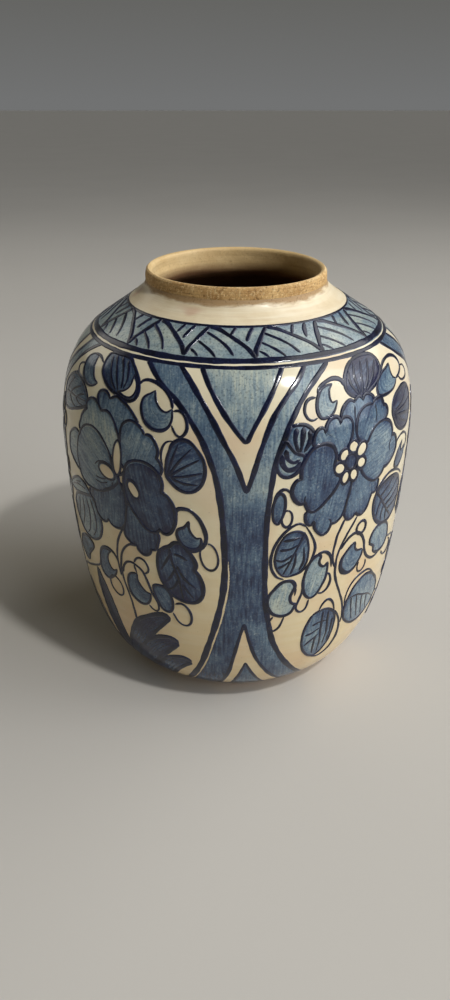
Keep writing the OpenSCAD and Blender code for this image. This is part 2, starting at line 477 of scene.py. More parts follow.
def outline(points, step=0.8):
    """Closed outline through (az, s) points; a third value marks a sharp corner."""
    corners = [i for i, p in enumerate(points) if len(p) > 2]
    if not corners:
        return curve_through(points, step, True)
    first = corners[0]
    loop = list(points[first:]) + list(points[:first + 1])
    marks = [c - first for c in corners] + [len(points)]
    return np.vstack([curve_through(loop[a:b + 1], step)[:-1] for a, b in zip(marks, marks[1:])])


def flat(path):
    """A path's points on flat paper, in mm."""
    k = mm_per_deg(path[:, 1])
    return np.stack([np.cumsum(np.r_[0, np.diff(path[:, 0]) * (k[1:] + k[:-1]) / 2]), path[:, 1]], -1)


def even(path, n):
    """n points evenly spaced along a path."""
    run = np.r_[0, np.cumsum(np.linalg.norm(np.diff(flat(path), axis=0), axis=1))]
    t = np.linspace(0, run[-1], n)
    return np.stack([np.interp(t, run, path[:, 0]), np.interp(t, run, path[:, 1])], -1)


def area(poly):
    """Signed area of a closed path, positive when it runs anticlockwise seen from outside."""
    x, y = poly[:, 0], poly[:, 1]
    return np.sum(x * np.roll(y, -1) - np.roll(x, -1) * y) / 2


def inside(poly, pts):
    """Which (az, s) points lie inside a closed outline."""
    x, y = pts[:, 0][:, None], pts[:, 1][:, None]
    x1, y1 = poly[:, 0][None], poly[:, 1][None]
    x2, y2 = np.roll(poly[:, 0], -1)[None], np.roll(poly[:, 1], -1)[None]
    cross = (y1 > y) != (y2 > y)
    at = x1 + (y - y1) / np.where(y2 == y1, 1e-9, y2 - y1) * (x2 - x1)
    return (np.sum(cross & (x < at), axis=1) % 2) == 1


class Spot:
    """A bit of flat paper on the pot: x and y in mm round a place, turned clockwise from up."""

    def __init__(self, az, s, turn=0.0):
        self.az, self.s = az, s
        t = math.radians(turn)
        self.c, self.d = math.cos(t), math.sin(t)

    def on(self, xy):
        xy = np.atleast_2d(np.array(xy, float))
        x = xy[:, 0] * self.c + xy[:, 1] * self.d
        s = self.s - xy[:, 0] * self.d + xy[:, 1] * self.c
        return np.stack([self.az + x / mm_per_deg(s), s], -1)


BRUSH = 1.16      # how full the brush was: scales every stroke's width
PROUD = 0.16      # mm a stroke stands above the wash it lies on
LAYER = 0.007     # mm each later motif lies above the one before
WASH_UP = 0.05    # mm the first wash stands above the glaze
SUNK = 0.03       # mm a stroke's edges dip into the glaze
ACROSS = np.array([-1, -0.86, -0.45, 0.45, 0.86, 1.0])    # points across a stroke, edge to edge
DOME = np.array([0, 0.66, 1, 1, 0.66, 0])                 # their share of its height


class Sheet:
    """The painting of one part of the pot, in the order it was painted."""

    def __init__(self, name, seed, shift=0.0, drift=0.0):
        self.name, self.shift, self.drift = name, shift, drift
        self.rng = np.random.default_rng(seed)
        self.phase = self.rng.uniform(0, 6.28, 6)
        self.strokes, self.fills, self.covers = [], [], []
        self.order = 0

    def begin(self, cover=None):
        """Starts a motif; its cover hides earlier strokes under it."""
        self.order += 1
        if cover is not None:
            self.covers.append((self.order, cover))

    def stroke(self, pts, w=1.3, press=(0.5, 1.0, 0.5), ready=False):
        path = np.array(pts, float) if ready else curve_through(pts)
        self.strokes.append((self.order, path, w, press, self.rng.uniform(0, 99)))

    def loop(self, path, w, press=(1, 1, 1)):
        self.stroke(np.vstack([path, path[:2]]), w, press, True)

    def fan(self, line, heart, tone=0.5, flow=0.0, fade=0.0, kind="wash"):
        """Fills an outline seen whole from its heart. flow is the brush direction, and fade
        lightens the middle."""
        rings = max(6, int(np.abs(line - heart).max() / 1.2))
        rho = np.linspace(0.001, 1, rings)
        az = heart[0] + (line[:, 0][:, None] - heart[0]) * rho
        s = heart[1] + (line[:, 1][:, None] - heart[1]) * rho
        rho = np.broadcast_to(rho, az.shape)
        x, y = (az - heart[0]) * mm_per_deg(s), s - heart[1]
        c, d = math.cos(math.radians(flow)), math.sin(math.radians(flow))
        self.fills.append((kind, self.order, az, s, rho, tone - fade * (1 - rho ** 2), x * c - y * d,
                           x * d + y * c, True, area(line) > 0, self.rng.uniform(0, 99)))

    def ladder(self, left, right, tone=0.5, tone_end=None, cols=9, centre=None):
        """Fills between two edges with as many points each. The brush runs along them, or
        straight up where centre gives the azimuth that the streaks are measured from."""
        u = np.linspace(0, 1, cols)
        az = left[:, 0][:, None] * (1 - u) + right[:, 0][:, None] * u
        s = left[:, 1][:, None] * (1 - u) + right[:, 1][:, None] * u
        mid = np.stack([az.mean(1), s.mean(1)], -1)
        run = np.r_[0, np.cumsum(np.linalg.norm(np.diff(flat(mid), axis=0), axis=1))]
        along = np.broadcast_to(run[:, None], az.shape)
        wide = np.hypot((az - mid[:, 0][:, None]) * mm_per_deg(s),
                        s - mid[:, 1][:, None]) * np.where(u < 0.5, -1, 1)
        if tone_end is None:
            tones = np.broadcast_to(np.atleast_1d(tone)[:, None] + 0.08 * (0.5 - u), az.shape)
        else:
            tones = tone + (tone_end - tone) * along / max(run[-1], 1e-6)
        seed = self.rng.uniform(0, 99)
        if centre is not None:
            wide, along, seed = (az - centre) * mm_per_deg(s), s, 0.0
        edge = np.broadcast_to(np.abs(2 * u - 1), az.shape)
        flip = area(np.vstack([left, right[::-1]])) < 0
        self.fills.append(("wash", self.order, az, s, edge, tones, wide, along, False, flip, seed))

    # -- building

    def land(self, az, s, lift):
        """Points on the pot; a drifting sheet is a freer copy of the same drawing."""
        d, p = self.drift, self.phase
        az2 = az + self.shift + d * (0.7 * np.sin(s / 21 + p[0]) + 0.4 * np.sin(s / 8 + az / 6 + p[1]))
        fade = np.clip((216 - s) / 25, 0, 1)
        s2 = s + d * fade * (1.1 * np.sin(az / 9 + p[2]) + 0.6 * np.sin(az / 4 + s / 15 + p[3]))
        return place(SKIN, az2, s2, lift).reshape(-1, 3)

    def ribbon(self, order, path, w, press, seed):
        """Azimuth, distance, lift and edge of one domed stroke's cross-sections."""
        k = mm_per_deg(path[:, 1])
        paper = flat(path)
        run = np.r_[0, np.cumsum(np.linalg.norm(np.diff(paper, axis=0), axis=1))]
        total = max(run[-1], 1e-6)
        shut = np.linalg.norm(paper[0] - paper[-1]) < 1.5 and total > 12 or total > 300
        width = BRUSH * w * np.interp(run / total, [0, 0.5, 1], press)
        turns = [2 * math.pi * max(1, round(total / wave)) / total for wave in (27, 9)]
        width = width * (1 + 0.10 * np.sin(run * turns[0] + seed) + 0.05 * np.sin(run * turns[1] + 2 * seed))
        tip = min(1.3, total * 0.25)
        ends = np.ones_like(run) if shut else np.sqrt(np.clip(np.minimum(run, total - run) / tip, 0.06, 1))
        d = np.gradient(paper, axis=0)
        d /= np.linalg.norm(d, axis=1)[:, None] + 1e-9
        nrm = np.stack([-d[:, 1], d[:, 0]], -1)
        half = width * ends / 2
        az = path[:, 0][:, None] + nrm[:, 0][:, None] * half[:, None] * ACROSS / k[:, None]
        s = path[:, 1][:, None] + nrm[:, 1][:, None] * half[:, None] * ACROSS
        lift = (WASH_UP + LAYER * order + PROUD * ends)[:, None] * DOME - SUNK * (DOME == 0)
        return az, s, lift, np.broadcast_to(np.abs(ACROSS), az.shape)

    def lines_object(self):
        verts, faces, edges, count = [], [], [], 0
        for order, path, w, press, seed in self.strokes:
            seen = np.ones(len(path), bool)
            for o, poly in self.covers:
                if o > order:
                    seen &= ~inside(poly, path)
            cuts = np.flatnonzero(np.diff(np.r_[0, seen.astype(int), 0]))
            for a, b in zip(cuts[::2], cuts[1::2]):
                if b - a < 4:
                    continue
                whole = b - a == len(path)
                az, s, lift, edge = self.ribbon(order, path[a:b], w, press if whole else (1, 1, 1), seed)
                verts.append(self.land(az, s, lift))
                faces.append(grid_faces(az.shape[0], az.shape[1], start=count))
                edges.append(edge.ravel())
                count += az.size
        return add_object(self.name + "_lines", np.vstack(verts), np.vstack(faces), MAT["line"],
                          {"edge": np.concatenate(edges)})

    def fills_object(self, kind, mat, suffix):
        verts, faces, tone, edge, flow, count = [], [], [], [], [], 0
        for k, order, az, s, rho, tones, across, along, wrap, flip, seed in self.fills:
            if k != kind:
                continue
            lift = (WASH_UP + LAYER * order) * (1 - np.clip((rho - 0.93) / 0.07, 0, 1) * 1.2)
            verts.append(self.land(az, s, lift))
            faces.append(grid_faces(az.shape[0], az.shape[1], wrap, count, flip))
            tone.append(tones.ravel())
            edge.append(rho.ravel())
            flow.append(np.stack([across.ravel(), along.ravel(), np.full(az.size, seed)], -1))
            count += az.size
        if not verts:
            return None
        return add_object(self.name + suffix, np.vstack(verts), np.vstack(faces), mat,
                          {"tone": np.concatenate(tone), "edge": np.concatenate(edge),
                           "flow": np.vstack(flow)})

    def build(self):
        """Makes the sheet's objects: strokes, washes and reserved cream spots."""
        made = [(self.lines_object(), "cobalt")]
        for kind, mat, suffix, slot in (("wash", MAT["wash"], "_wash", "blue_wash"),
                                        ("cream", MAT["cream"], "_reserve", "cream_glaze")):
            ob = self.fills_object(kind, mat, suffix)
            if ob:
                made.append((ob, slot))
        return made


# ---------------------------------------------------------------- motifs


def oval_xy(w, h, n=40, start=0.0, end=360.0):
    """Points of an ellipse in mm, clockwise from up."""
    a = np.radians(np.linspace(start, end, n, endpoint=abs(end - start) < 360))
    return np.stack([w / 2 * np.sin(a), h / 2 * np.cos(a)], -1)


def patch(sh, points, heart, tone=0.5, flow=0.0, line=1.5, fade=0.1, kind="wash"):
    """Closed painted shape: a wash round its heart, with its outline."""
    out = outline(points)
    sh.begin(out)
    sh.fan(out, np.array(heart, float), tone, flow, fade, kind)
    sh.loop(out, line)


def crescent(sh, outer, bite, tone=0.4, line=1.4):
    """Berry with a bite out of it, drawn from horn to horn round each edge."""
    a, b = even(curve_through(outer), 46), even(curve_through(bite), 46)
    sh.begin(np.vstack([a, b[::-1]]))
    sh.ladder(b, a, tone + 0.1, tone - 0.05, cols=8)
    sh.stroke(a, line, (0.6, 1.35, 0.7), True)
    sh.stroke(b, line * 0.8, (0.9, 0.9, 0.6), True)


def blade(sh, upper, lower, tone=0.97, line=2.3):
    """Pointed ground leaf between two edges drawn from the root to one tip."""
    a, b = even(curve_through(upper), 40), even(curve_through(lower), 40)
    sh.begin(np.vstack([a, b[::-1]]))
    sh.ladder(a, b, tone - 0.06, tone, cols=9)
    sh.stroke(a, line, (0.7, 1.1, 1.3), True)
    sh.stroke(b, line, (0.6, 1.2, 1.2), True)


def oval(sh, az, s, w, h, turn=0.0, line=1.1, kind="cream", tone=0.5):
    """Small closed oval, reserved in cream or washed."""
    sp = Spot(az, s, turn)
    out = sp.on(oval_xy(w, h))
    sh.begin(out)
    sh.fan(out, np.array([az, s], float), tone, turn, 0.1, kind)
    sh.loop(out, line)


def ringlet(sh, az, s, w, h, turn=0.0, line=1.0, start=10, sweep=368):
    """Thin oval loop of one stroke, its end painted over its start."""
    sh.begin()
    sh.stroke(Spot(az, s, turn).on(oval_xy(w, h, 34, start, start + sweep)), line, (0.8, 1.1, 0.8), True)


def berry(sh, az, s, w, h, turn=0.0, bite=60, opening=55, tone=0.35, arc=1.2, line=1.4, deep=0.05):
    """Round berry bitten on the side bite points to; arc closes the gap with a wider thin line."""
    sp = Spot(az, s, turn)
    b = bite - turn
    outer = oval_xy(w, h, 44, b + opening, b + 360 - opening)
    p, q = outer[0], outer[-1]
    t = np.linspace(0, 1, 44)[:, None]
    dip = np.array([math.sin(math.radians(b)), math.cos(math.radians(b))]) * min(w, h) * deep
    edge = (1 - t) ** 2 * p + 2 * t * (1 - t) * (2 * dip - (p + q) / 2) + t * t * q
    outer, edge = sp.on(outer), sp.on(edge)
    sh.begin(np.vstack([outer, edge[::-1]]))
    sh.ladder(edge, outer, tone + 0.1, tone - 0.05, cols=8)
    sh.stroke(outer, line, (0.6, 1.3, 0.7), True)
    sh.stroke(edge, line * 0.8, (0.8, 0.9, 0.6), True)
    if arc:
        sh.stroke(sp.on(oval_xy(w * arc, h * arc, 26, b - opening - 14, b + opening + 6)), line * 0.8,
                  (0.7, 1.0, 0.5), True)


def leaf(sh, az, s, turn, w, long, veins=4, tone=0.55, halo=0, line=1.4, stripes=0):
    """Broad leaf with its tip in the turn direction. veins branch from a midrib, stripes run
    lengthwise, and halo adds an outer arc on the left (-1) or right (1)."""
    sp = Spot(az, s, turn)
    a = np.linspace(0, 2 * math.pi, 52, endpoint=False)
    sharp = np.abs(np.sin(a)) ** 0.85 * np.sign(np.sin(a))
    out = sp.on(np.stack([w / 2 * sharp * (1 - 0.12 * np.cos(a)), long / 2 * np.cos(a)], -1))
    sh.begin(out)
    sh.fan(out, np.array([az, s], float), tone, turn, 0.14)
    sh.loop(out, line)
    bow = sh.rng.uniform(-0.06, 0.06) * w
    if veins:
        sh.stroke(sp.on([(0, -long * 0.48), (bow, -long * 0.1), (bow * 0.6, long * 0.25),
                         (0, long * 0.46)]), line, (1.1, 0.9, 0.6))
        for i in range(veins):
            y = -long * 0.34 + long * 0.62 * i / max(1, veins - 1)
            half = w / 2 * math.sqrt(max(0.05, 1 - (2 * (y + long * 0.1) / long) ** 2))
            for side in (-1, 1):
                x = side * half * 0.88
                sh.stroke(sp.on([(bow * 0.5, y), (x * 0.5, y + long * 0.05), (x, y + long * 0.16)]),
                          line * 0.85, (1.0, 0.9, 0.5))
    for i in range(stripes):
        x = w * (i + 1 - (stripes + 1) / 2) / (stripes + 1)
        far = long * 0.42 * math.sqrt(max(0.1, 1 - (2 * x / w) ** 2))
        sh.stroke(sp.on([(x * 0.55, -far), (x * 1.08, 0), (x * 0.7, far)]), line, (0.9, 1.2, 0.6))
    if halo:
        lo, hi = (15, 165) if halo == 1 else (195, 345)
        sh.stroke(sp.on(oval_xy(w * 1.3, long * 1.12, 30, lo, hi)), line * 0.8, (0.6, 1.1, 0.6), True)


def stem(sh, pts, w=1.2):
    sh.begin()
    sh.stroke(pts, w, (0.85, 1.0, 0.7))


def veins(sh, w, *paths):
    """Veins or creases drawn inside the last shape."""
    for p in paths:
        sh.stroke(p, w, (1.1, 1.0, 0.6))


# ---------------------------------------------------------------- panels


def peony_panel(sh):
    """Left panel: a peony seen from the side over berries, leaves and ground blades."""
    stem(sh, [(-36.5, 124), (-39, 115.5), (-40.2, 106), (-40.2, 98), (-39.8, 91)], 1.4)
    stem(sh, [(-31, 116.2), (-34.5, 115.2), (-37.5, 109.5), (-38.8, 102), (-39.2, 95), (-38.2, 86),
              (-36.6, 75), (-35.8, 60)], 1.4)
    stem(sh, [(-71.2, 58), (-70, 69), (-66, 76), (-62, 79), (-58, 82.5), (-54, 86), (-51.5, 89),
              (-50.4, 94)], 1.5)
    stem(sh, [(-72.4, 42), (-71.3, 56), (-71, 72), (-72.2, 90), (-72.2, 107), (-70, 121)])
    # ground blades, back ones first
    blade(sh, [(-55, 5), (-58, 16), (-62, 30), (-66, 44), (-67.5, 56), (-66, 66)],
          [(-51, 5), (-54, 12), (-56, 28), (-59, 44), (-62.5, 56), (-66, 66)])
    blade(sh, [(-51.4, 5), (-52, 14), (-52.8, 40), (-54, 55), (-54.8, 70), (-54, 85)],
          [(-46, 5), (-45.5, 14), (-45, 34), (-46.2, 51), (-48, 65.5), (-50.5, 76), (-54, 85)])
    blade(sh, [(-52, 6), (-46, 28), (-42.5, 41), (-38.5, 54), (-35, 63), (-29, 70.5), (-25, 73.8),
               (-21.8, 73)],
          [(-47, 6), (-42, 21), (-36.5, 38.5), (-30.5, 53.5), (-26, 63.5), (-23.5, 69), (-21.8, 73)])
    blade(sh, [(-49, 6), (-44, 19), (-39, 32.5), (-34, 45), (-29, 53), (-24, 56.8), (-21.2, 56),
               (-20, 53.5)], [(-42, 6), (-36, 19), (-30, 32.5), (-25, 43), (-22.2, 49), (-20, 53.5)])
    blade(sh, [(-41, 5), (-34.5, 19.5), (-29.5, 30), (-25, 38), (-20.5, 41.2), (-17.8, 40.6), (-16.3, 38)],
          [(-32, 5), (-27, 14.5), (-23.5, 24.5), (-20, 32), (-17.2, 36.4), (-16.3, 38)])
    # leaf by the ring, half wrapped in a cream fold
    patch(sh, [(-49.6, 213.8), (-50.6, 209.5), (-49.8, 204.5), (-47, 200), (-42.7, 196.4), (-37.3, 194.3),
               (-34.9, 193.6), (-32.6, 195.3), (-31.9, 199.2), (-32.8, 204), (-35, 208), (-37.5, 211.5),
               (-40, 214), (-45, 214.4)], (-42, 205), 0.72, -40, 1.7, 0.05)
    veins(sh, 1.5, [(-48.2, 212.6), (-46, 206.5), (-43.2, 200.5), (-40.6, 196.8)],
          [(-46.4, 213.4), (-43.8, 208), (-41.4, 202), (-39.6, 197)],
          [(-43.4, 213.6), (-41, 209), (-39, 203), (-38.6, 198)],
          [(-40.2, 212.6), (-38.2, 208), (-37.2, 203), (-37.8, 198.6)])
    patch(sh, [(-35.2, 206.4, 1), (-33.4, 203.4), (-32.9, 199), (-34.2, 195.6), (-36.6, 195.2),
               (-39.6, 196.6, 1), (-37, 198.2), (-35.3, 201.2)], (-34.9, 198.6), 0.2, 0, 1.1, 0, "cream")
    crescent(sh, [(-55.6, 209.2), (-58.5, 209.3), (-61.2, 206.5), (-61.3, 202.4), (-59.9, 198),
                  (-57.4, 195.3), (-54.5, 194), (-51.8, 194.7), (-49.6, 196.7)],
             [(-55.6, 209.2), (-55.2, 205.3), (-53.7, 201), (-52, 198.1), (-49.6, 196.7)], 0.45)
    sh.stroke([(-59.3, 209), (-56.8, 209.9), (-53.7, 209.2), (-50.9, 207)], 1.4)
    sh.stroke([(-61.5, 202.4), (-63.5, 201.7), (-64.8, 200), (-64.3, 197.4), (-62.5, 195.6), (-60, 195.2),
               (-57.8, 195.6)], 1.1)
    patch(sh, [(-66, 195), (-62, 195.4), (-58, 193.8), (-54.5, 190.6), (-52.2, 185.5), (-54.5, 182),
               (-59, 179), (-65, 175.4), (-70, 175), (-72.8, 181), (-72, 189)], (-62, 185.5), 0.62, 85)
    veins(sh, 1.3, [(-72, 181.5), (-66, 183.6), (-60, 184.6), (-53.4, 185.6)],
          [(-66, 183.6), (-63, 187.6), (-58, 191.4)], [(-60, 184.6), (-57.6, 187), (-55, 188.6)],
          [(-67, 183.2), (-63, 180), (-60, 179.4)], [(-61, 184.4), (-58, 182.4), (-55, 182.4)],
          [(-69.6, 182.4), (-68, 188), (-64.6, 193)])
    crescent(sh, [(-26.1, 201.4), (-27.2, 199.8), (-29.4, 197.3), (-29.8, 193.5), (-29.1, 189),
                  (-27.5, 185.4), (-25, 183.2), (-22.3, 183.3), (-20.3, 185.5), (-19.5, 189.5),
                  (-19.7, 194)],
             [(-26.1, 201.4), (-25.6, 198.1), (-24.6, 195.2), (-23, 192.8), (-21.4, 192.1),
              (-19.7, 194)], 0.5)
    sh.stroke([(-32.2, 202.2), (-31.4, 204.6), (-29.7, 205.6), (-27.3, 205.3), (-24.7, 204), (-22.4, 201.5),
               (-20.5, 198), (-19.6, 194)], 1.6, (0.7, 1.1, 1))
    stem(sh, [(-19.4, 193), (-17.7, 193.5), (-16.2, 192.3), (-15.2, 189.6), (-14.8, 186), (-15.4, 183.1),
              (-16.7, 181.4), (-18.1, 182.8), (-19.4, 186.4)], 1.5)
    patch(sh, [(-19.3, 175.3), (-18.5, 178.1), (-16.9, 180), (-15.2, 180.3), (-13.2, 178.9), (-11.2, 175.3),
               (-9.7, 171), (-9.2, 166), (-9.8, 160), (-11.4, 156), (-13.6, 154.2), (-16, 154.8),
               (-18.4, 157.6), (-20.2, 162), (-20.2, 169)], (-14.8, 167), 0.66, 60, 1.7)
    veins(sh, 1.4, [(-19.9, 161), (-18.6, 170), (-17, 178)], [(-19.6, 161.2), (-16.8, 169), (-13.2, 176.5)],
          [(-19.4, 161.4), (-15.4, 166.6), (-10.8, 171.6)], [(-19, 161), (-14.5, 162.6), (-9.8, 165)],
          [(-18.6, 160.4), (-14.8, 158.6), (-11, 158.6)])
    sh.stroke([(-18.5, 179.3), (-20.6, 178.1), (-21.8, 174.6), (-21.9, 170), (-21.3, 166)], 1.2)
    # berries under the flower
    crescent(sh, [(-13.9, 138.4), (-15.2, 134.6), (-17.4, 132), (-17.2, 127), (-15.4, 122.9), (-12.6, 122),
                  (-10.6, 124.8), (-10.4, 129.4)],
             [(-13.9, 138.4), (-13.9, 134), (-12.8, 130.4), (-11.6, 128.8), (-10.4, 129.4)], 0.6, 1.7)
    stem(sh, [(-17.7, 139.5), (-17.6, 143), (-16.2, 144.7), (-13.4, 144.2), (-10.6, 139), (-9, 130.5),
              (-9.8, 124.4), (-12.4, 121), (-15, 121.6)], 2.0)
    ringlet(sh, -8.2, 118.2, 9, 16.5, -8, 1.1)
    patch(sh, [(-20, 121.7), (-18.6, 124.2), (-16.6, 124.2), (-14.9, 121.7), (-13.2, 117.4), (-12.2, 112.4),
               (-12.7, 109, 1), (-11.2, 105.3), (-10.2, 100), (-10.5, 93), (-12.5, 88.1), (-15.5, 87.1),
               (-19, 88.9), (-21.5, 93), (-23.5, 99.6), (-24.4, 107), (-24, 115), (-22, 119.6)], (-18, 105),
          0.84, -8, 2.1, 0.06)
    veins(sh, 1.7, [(-20.2, 120.3), (-19.4, 111.7), (-17.8, 103), (-17, 95.3), (-16.6, 88.5)],
          [(-19.4, 118), (-21.5, 111.7), (-23.5, 105.3)], [(-18.6, 108), (-20.7, 101), (-22.7, 97.4)],
          [(-17.8, 101), (-19.4, 96), (-21.7, 93)], [(-19, 117.4), (-17, 116.7), (-14.6, 114.6)],
          [(-18.2, 110.3), (-15.7, 102.4), (-12.3, 97.4)], [(-16.6, 98.9), (-14.9, 94.6), (-13.2, 90.6)])
    crescent(sh, [(-43.4, 104.6), (-46.5, 104), (-48.6, 101.5), (-49.8, 97), (-50.4, 92), (-50.3, 87.5),
                  (-49, 84), (-46.6, 83.8), (-44.2, 86.6), (-42.4, 90.3), (-41.5, 94)],
             [(-43.4, 104.6), (-45, 101.5), (-45.5, 97), (-44.8, 93.5), (-43.2, 92), (-41.5, 94)], 0.55)
    sh.stroke([(-50.4, 94), (-49.6, 99.5), (-48, 103.5), (-45, 105.7), (-42.4, 105), (-40.8, 102),
               (-39.9, 97.5)], 1.9)
    ringlet(sh, -43, 81.6, 10.5, 13.2, -15, 1.1)
    crescent(sh, [(-32.5, 97.8), (-34.6, 96.7), (-36.2, 94), (-36.8, 89), (-36.4, 83), (-34.8, 79.4),
                  (-32.3, 77.4), (-30, 78.5), (-28.6, 81.8), (-28, 86.7)],
             [(-32.5, 97.8), (-32.7, 94), (-31.6, 90.3), (-29.8, 87.2), (-28, 86.7)], 0.6, 1.6)
    sh.stroke([(-33.4, 103.6), (-33.2, 101.3), (-32.5, 98)], 1.1)
    stem(sh, [(-38.5, 94.6), (-37.9, 99), (-36.6, 102.4), (-34.5, 104), (-32.3, 103), (-30.5, 101),
              (-29.3, 97.4), (-28.2, 91.7), (-27.2, 86.7), (-25.8, 81.7), (-25.6, 77.6), (-26.5, 75.4),
              (-28, 76), (-29.2, 78.4)], 1.4)
    stem(sh, [(-33.3, 104.5), (-32.3, 107.5), (-30.7, 109), (-29, 107.8), (-28, 104.6), (-28.2, 101.5),
              (-29.6, 99.2)], 1.3)
    patch(sh, [(-26.8, 91), (-26, 94), (-23.5, 94.6), (-21.6, 92.5), (-20.4, 86.6), (-20.6, 80.2),
               (-22, 77.4), (-24, 78.4), (-25.4, 83)], (-23.2, 86), 0.66, -25, 1.5)
    stem(sh, [(-19.6, 84), (-17.8, 85.2), (-16.1, 84), (-14.7, 80), (-14.4, 75), (-15.2, 71), (-17, 69.8),
              (-19, 72), (-20.6, 77.6)], 1.4)
    # striped bud, lined leaf and fillers towards the next divider
    patch(sh, [(-50.5, 134, 1), (-47.6, 128), (-46.4, 121), (-47, 114), (-49.5, 108), (-54, 104.6),
               (-59, 105.4), (-63.5, 111.5), (-65, 120), (-61.5, 128)], (-55.5, 119), 0.5, 10, 1.5)
    veins(sh, 1.5, [(-51.5, 131.6), (-49.6, 122), (-50, 114), (-52.4, 107.5)],
          [(-54, 130), (-53, 120), (-54.2, 111), (-56.4, 106.6)],
          [(-57, 128.6), (-57, 119), (-59.4, 109.6)], [(-60, 126.6), (-60.8, 118), (-62, 113)])
    patch(sh, [(-50.6, 134.5, 1), (-54, 138.8), (-58.5, 139.8), (-64, 135.4), (-69, 128.6, 1),
               (-62.5, 129)], (-60, 134), 0.4, 70, 1.3)
    veins(sh, 1.0, [(-54, 136), (-60, 134.6), (-66, 130.4)], [(-57, 138), (-62, 135)])
    patch(sh, [(-53.8, 99), (-56, 102.2), (-61, 101), (-65.4, 95), (-66.4, 88), (-63.6, 83.6),
               (-60.4, 84.6), (-58, 91)], (-61, 92.6), 0.68, 25, 1.5)
    berry(sh, -72.5, 125, 12, 15, 0, 300, tone=0.5)
    ringlet(sh, -70.6, 139.5, 7, 10)
    leaf(sh, -74.5, 152, 12, 15, 24, 4, 0.6)
    berry(sh, -74.6, 172, 10, 12, 0, 70)
    ringlet(sh, -70, 166.5, 6.5, 9)
    leaf(sh, -75.4, 100, -14, 14, 25, 4, 0.6, 1)
    # the peony, outer petals first
    patch(sh, [(-44.9, 185), (-46.8, 188), (-47.6, 191.4), (-47, 194), (-45.3, 195), (-43.5, 194.4),
               (-41.8, 192.2, 1), (-39.6, 194.2), (-37, 193), (-33.8, 190.4), (-30, 185, 1), (-34, 178),
               (-40, 176)], (-39, 186), 0.55, 0)
    patch(sh, [(-55.3, 170), (-55, 176), (-53.8, 180), (-51.9, 183, 1), (-52.6, 185.4), (-51.6, 188),
               (-50, 189.1), (-48, 188.6), (-46, 186.8), (-44.7, 185, 1), (-43, 185.9), (-41, 185.4),
               (-39, 182.6), (-37.2, 178), (-36.2, 172.6), (-38, 165), (-48, 163)], (-46, 177), 0.3, -20)
    patch(sh, [(-35.8, 173), (-35.8, 180), (-34.9, 183.1), (-33, 184.9), (-31, 184.6), (-29, 182.8),
               (-27.6, 180, 1), (-25.6, 179.7), (-23.9, 176.8), (-23, 173), (-23.2, 169.5, 1), (-22, 166.6),
               (-21.6, 163), (-24, 157), (-31, 156), (-35, 162)], (-30, 170), 0.58, 20)
    patch(sh, [(-55.3, 167.3, 1), (-58, 168.3), (-60.5, 166.6), (-62.8, 163.4), (-64, 158), (-63.4, 152),
               (-61, 149), (-58.5, 147), (-56, 145.6, 1), (-50, 152), (-50, 163)], (-57, 158), 0.36, 85)
    patch(sh, [(-35, 128), (-35.8, 123.5), (-35.4, 120), (-34.2, 117.9), (-32.7, 116.7), (-31.4, 116.6, 1),
               (-30.8, 114.3), (-29.5, 112.4), (-28, 112.4), (-26.8, 114.2), (-26.2, 116.8, 1),
               (-24.7, 117.4), (-23.8, 121), (-23.4, 127), (-26, 136), (-33, 141)], (-29.4, 127), 0.72, 0)
    patch(sh, [(-50.6, 140, 1), (-51.2, 137), (-50.5, 134.4), (-49, 133.3, 1), (-48.4, 129.4),
               (-47.4, 125.6), (-45.6, 123.5), (-43.8, 123.6), (-42.4, 125.8, 1), (-41, 123.6),
               (-39, 122.9), (-36.8, 124), (-35.3, 127), (-34.6, 132), (-34, 141), (-36, 151), (-43, 147)],
          (-41.5, 135), 0.66, 5)
    patch(sh, [(-56, 165.5), (-55, 168.5), (-53.5, 172), (-51.5, 174.3), (-48.8, 175.3), (-46.2, 174.6),
               (-43.8, 172.5), (-41.4, 169), (-39.7, 164.6), (-38.8, 159.4), (-36.4, 153), (-38.2, 148),
               (-41.5, 143.8), (-45, 141.2), (-49, 140), (-52.6, 140.4), (-55, 142.8), (-56.2, 146.6),
               (-57.2, 156)], (-48, 158), 0.4, -60)
    veins(sh, 0.9, [(-40, 152), (-43, 149.4), (-46.6, 149)], [(-41, 148.6), (-44, 146.6), (-47, 147)],
          [(-38.4, 150.6), (-40, 146.4), (-43.4, 143.6)])
    patch(sh, [(-34, 158.6), (-33.2, 162.6), (-31.6, 165), (-29, 166.2), (-26.5, 165.9), (-24.2, 164.2),
               (-22.4, 160.8), (-21.5, 156.4), (-21.7, 152.3, 1), (-20, 150.3), (-18.5, 146.4),
               (-17.8, 141.4), (-18, 135.8), (-19, 131), (-20.3, 128.7), (-21.8, 128.7), (-22.8, 130.6, 1),
               (-24, 128.4), (-26, 128.2), (-28, 130), (-30, 134), (-32, 138.4), (-33.6, 143.6),
               (-34.4, 151)], (-27, 147), 0.82, -12, 1.8, 0.06)
    oval(sh, -36.8, 164.2, 5.6, 18.6, 2, 1.3)
    oval(sh, -41.2, 154.7, 7.6, 12.6, 104, 1.3)
    sh.stroke([(-46.7, 155.6), (-44.8, 158.4), (-41.6, 159.6), (-39, 158.4), (-38, 156)], 1.2)
    oval(sh, -31, 149.8, 5.6, 10.4, -32, 1.2)
    sh.stroke([(-33.6, 154.6), (-31, 155), (-29, 151), (-28.8, 147)], 1.1)
    veins(sh, 1.2, [(-37.2, 154.6), (-35.6, 150), (-34.4, 145)],
          [(-36, 154.8), (-34.6, 157.4), (-33.6, 160)])


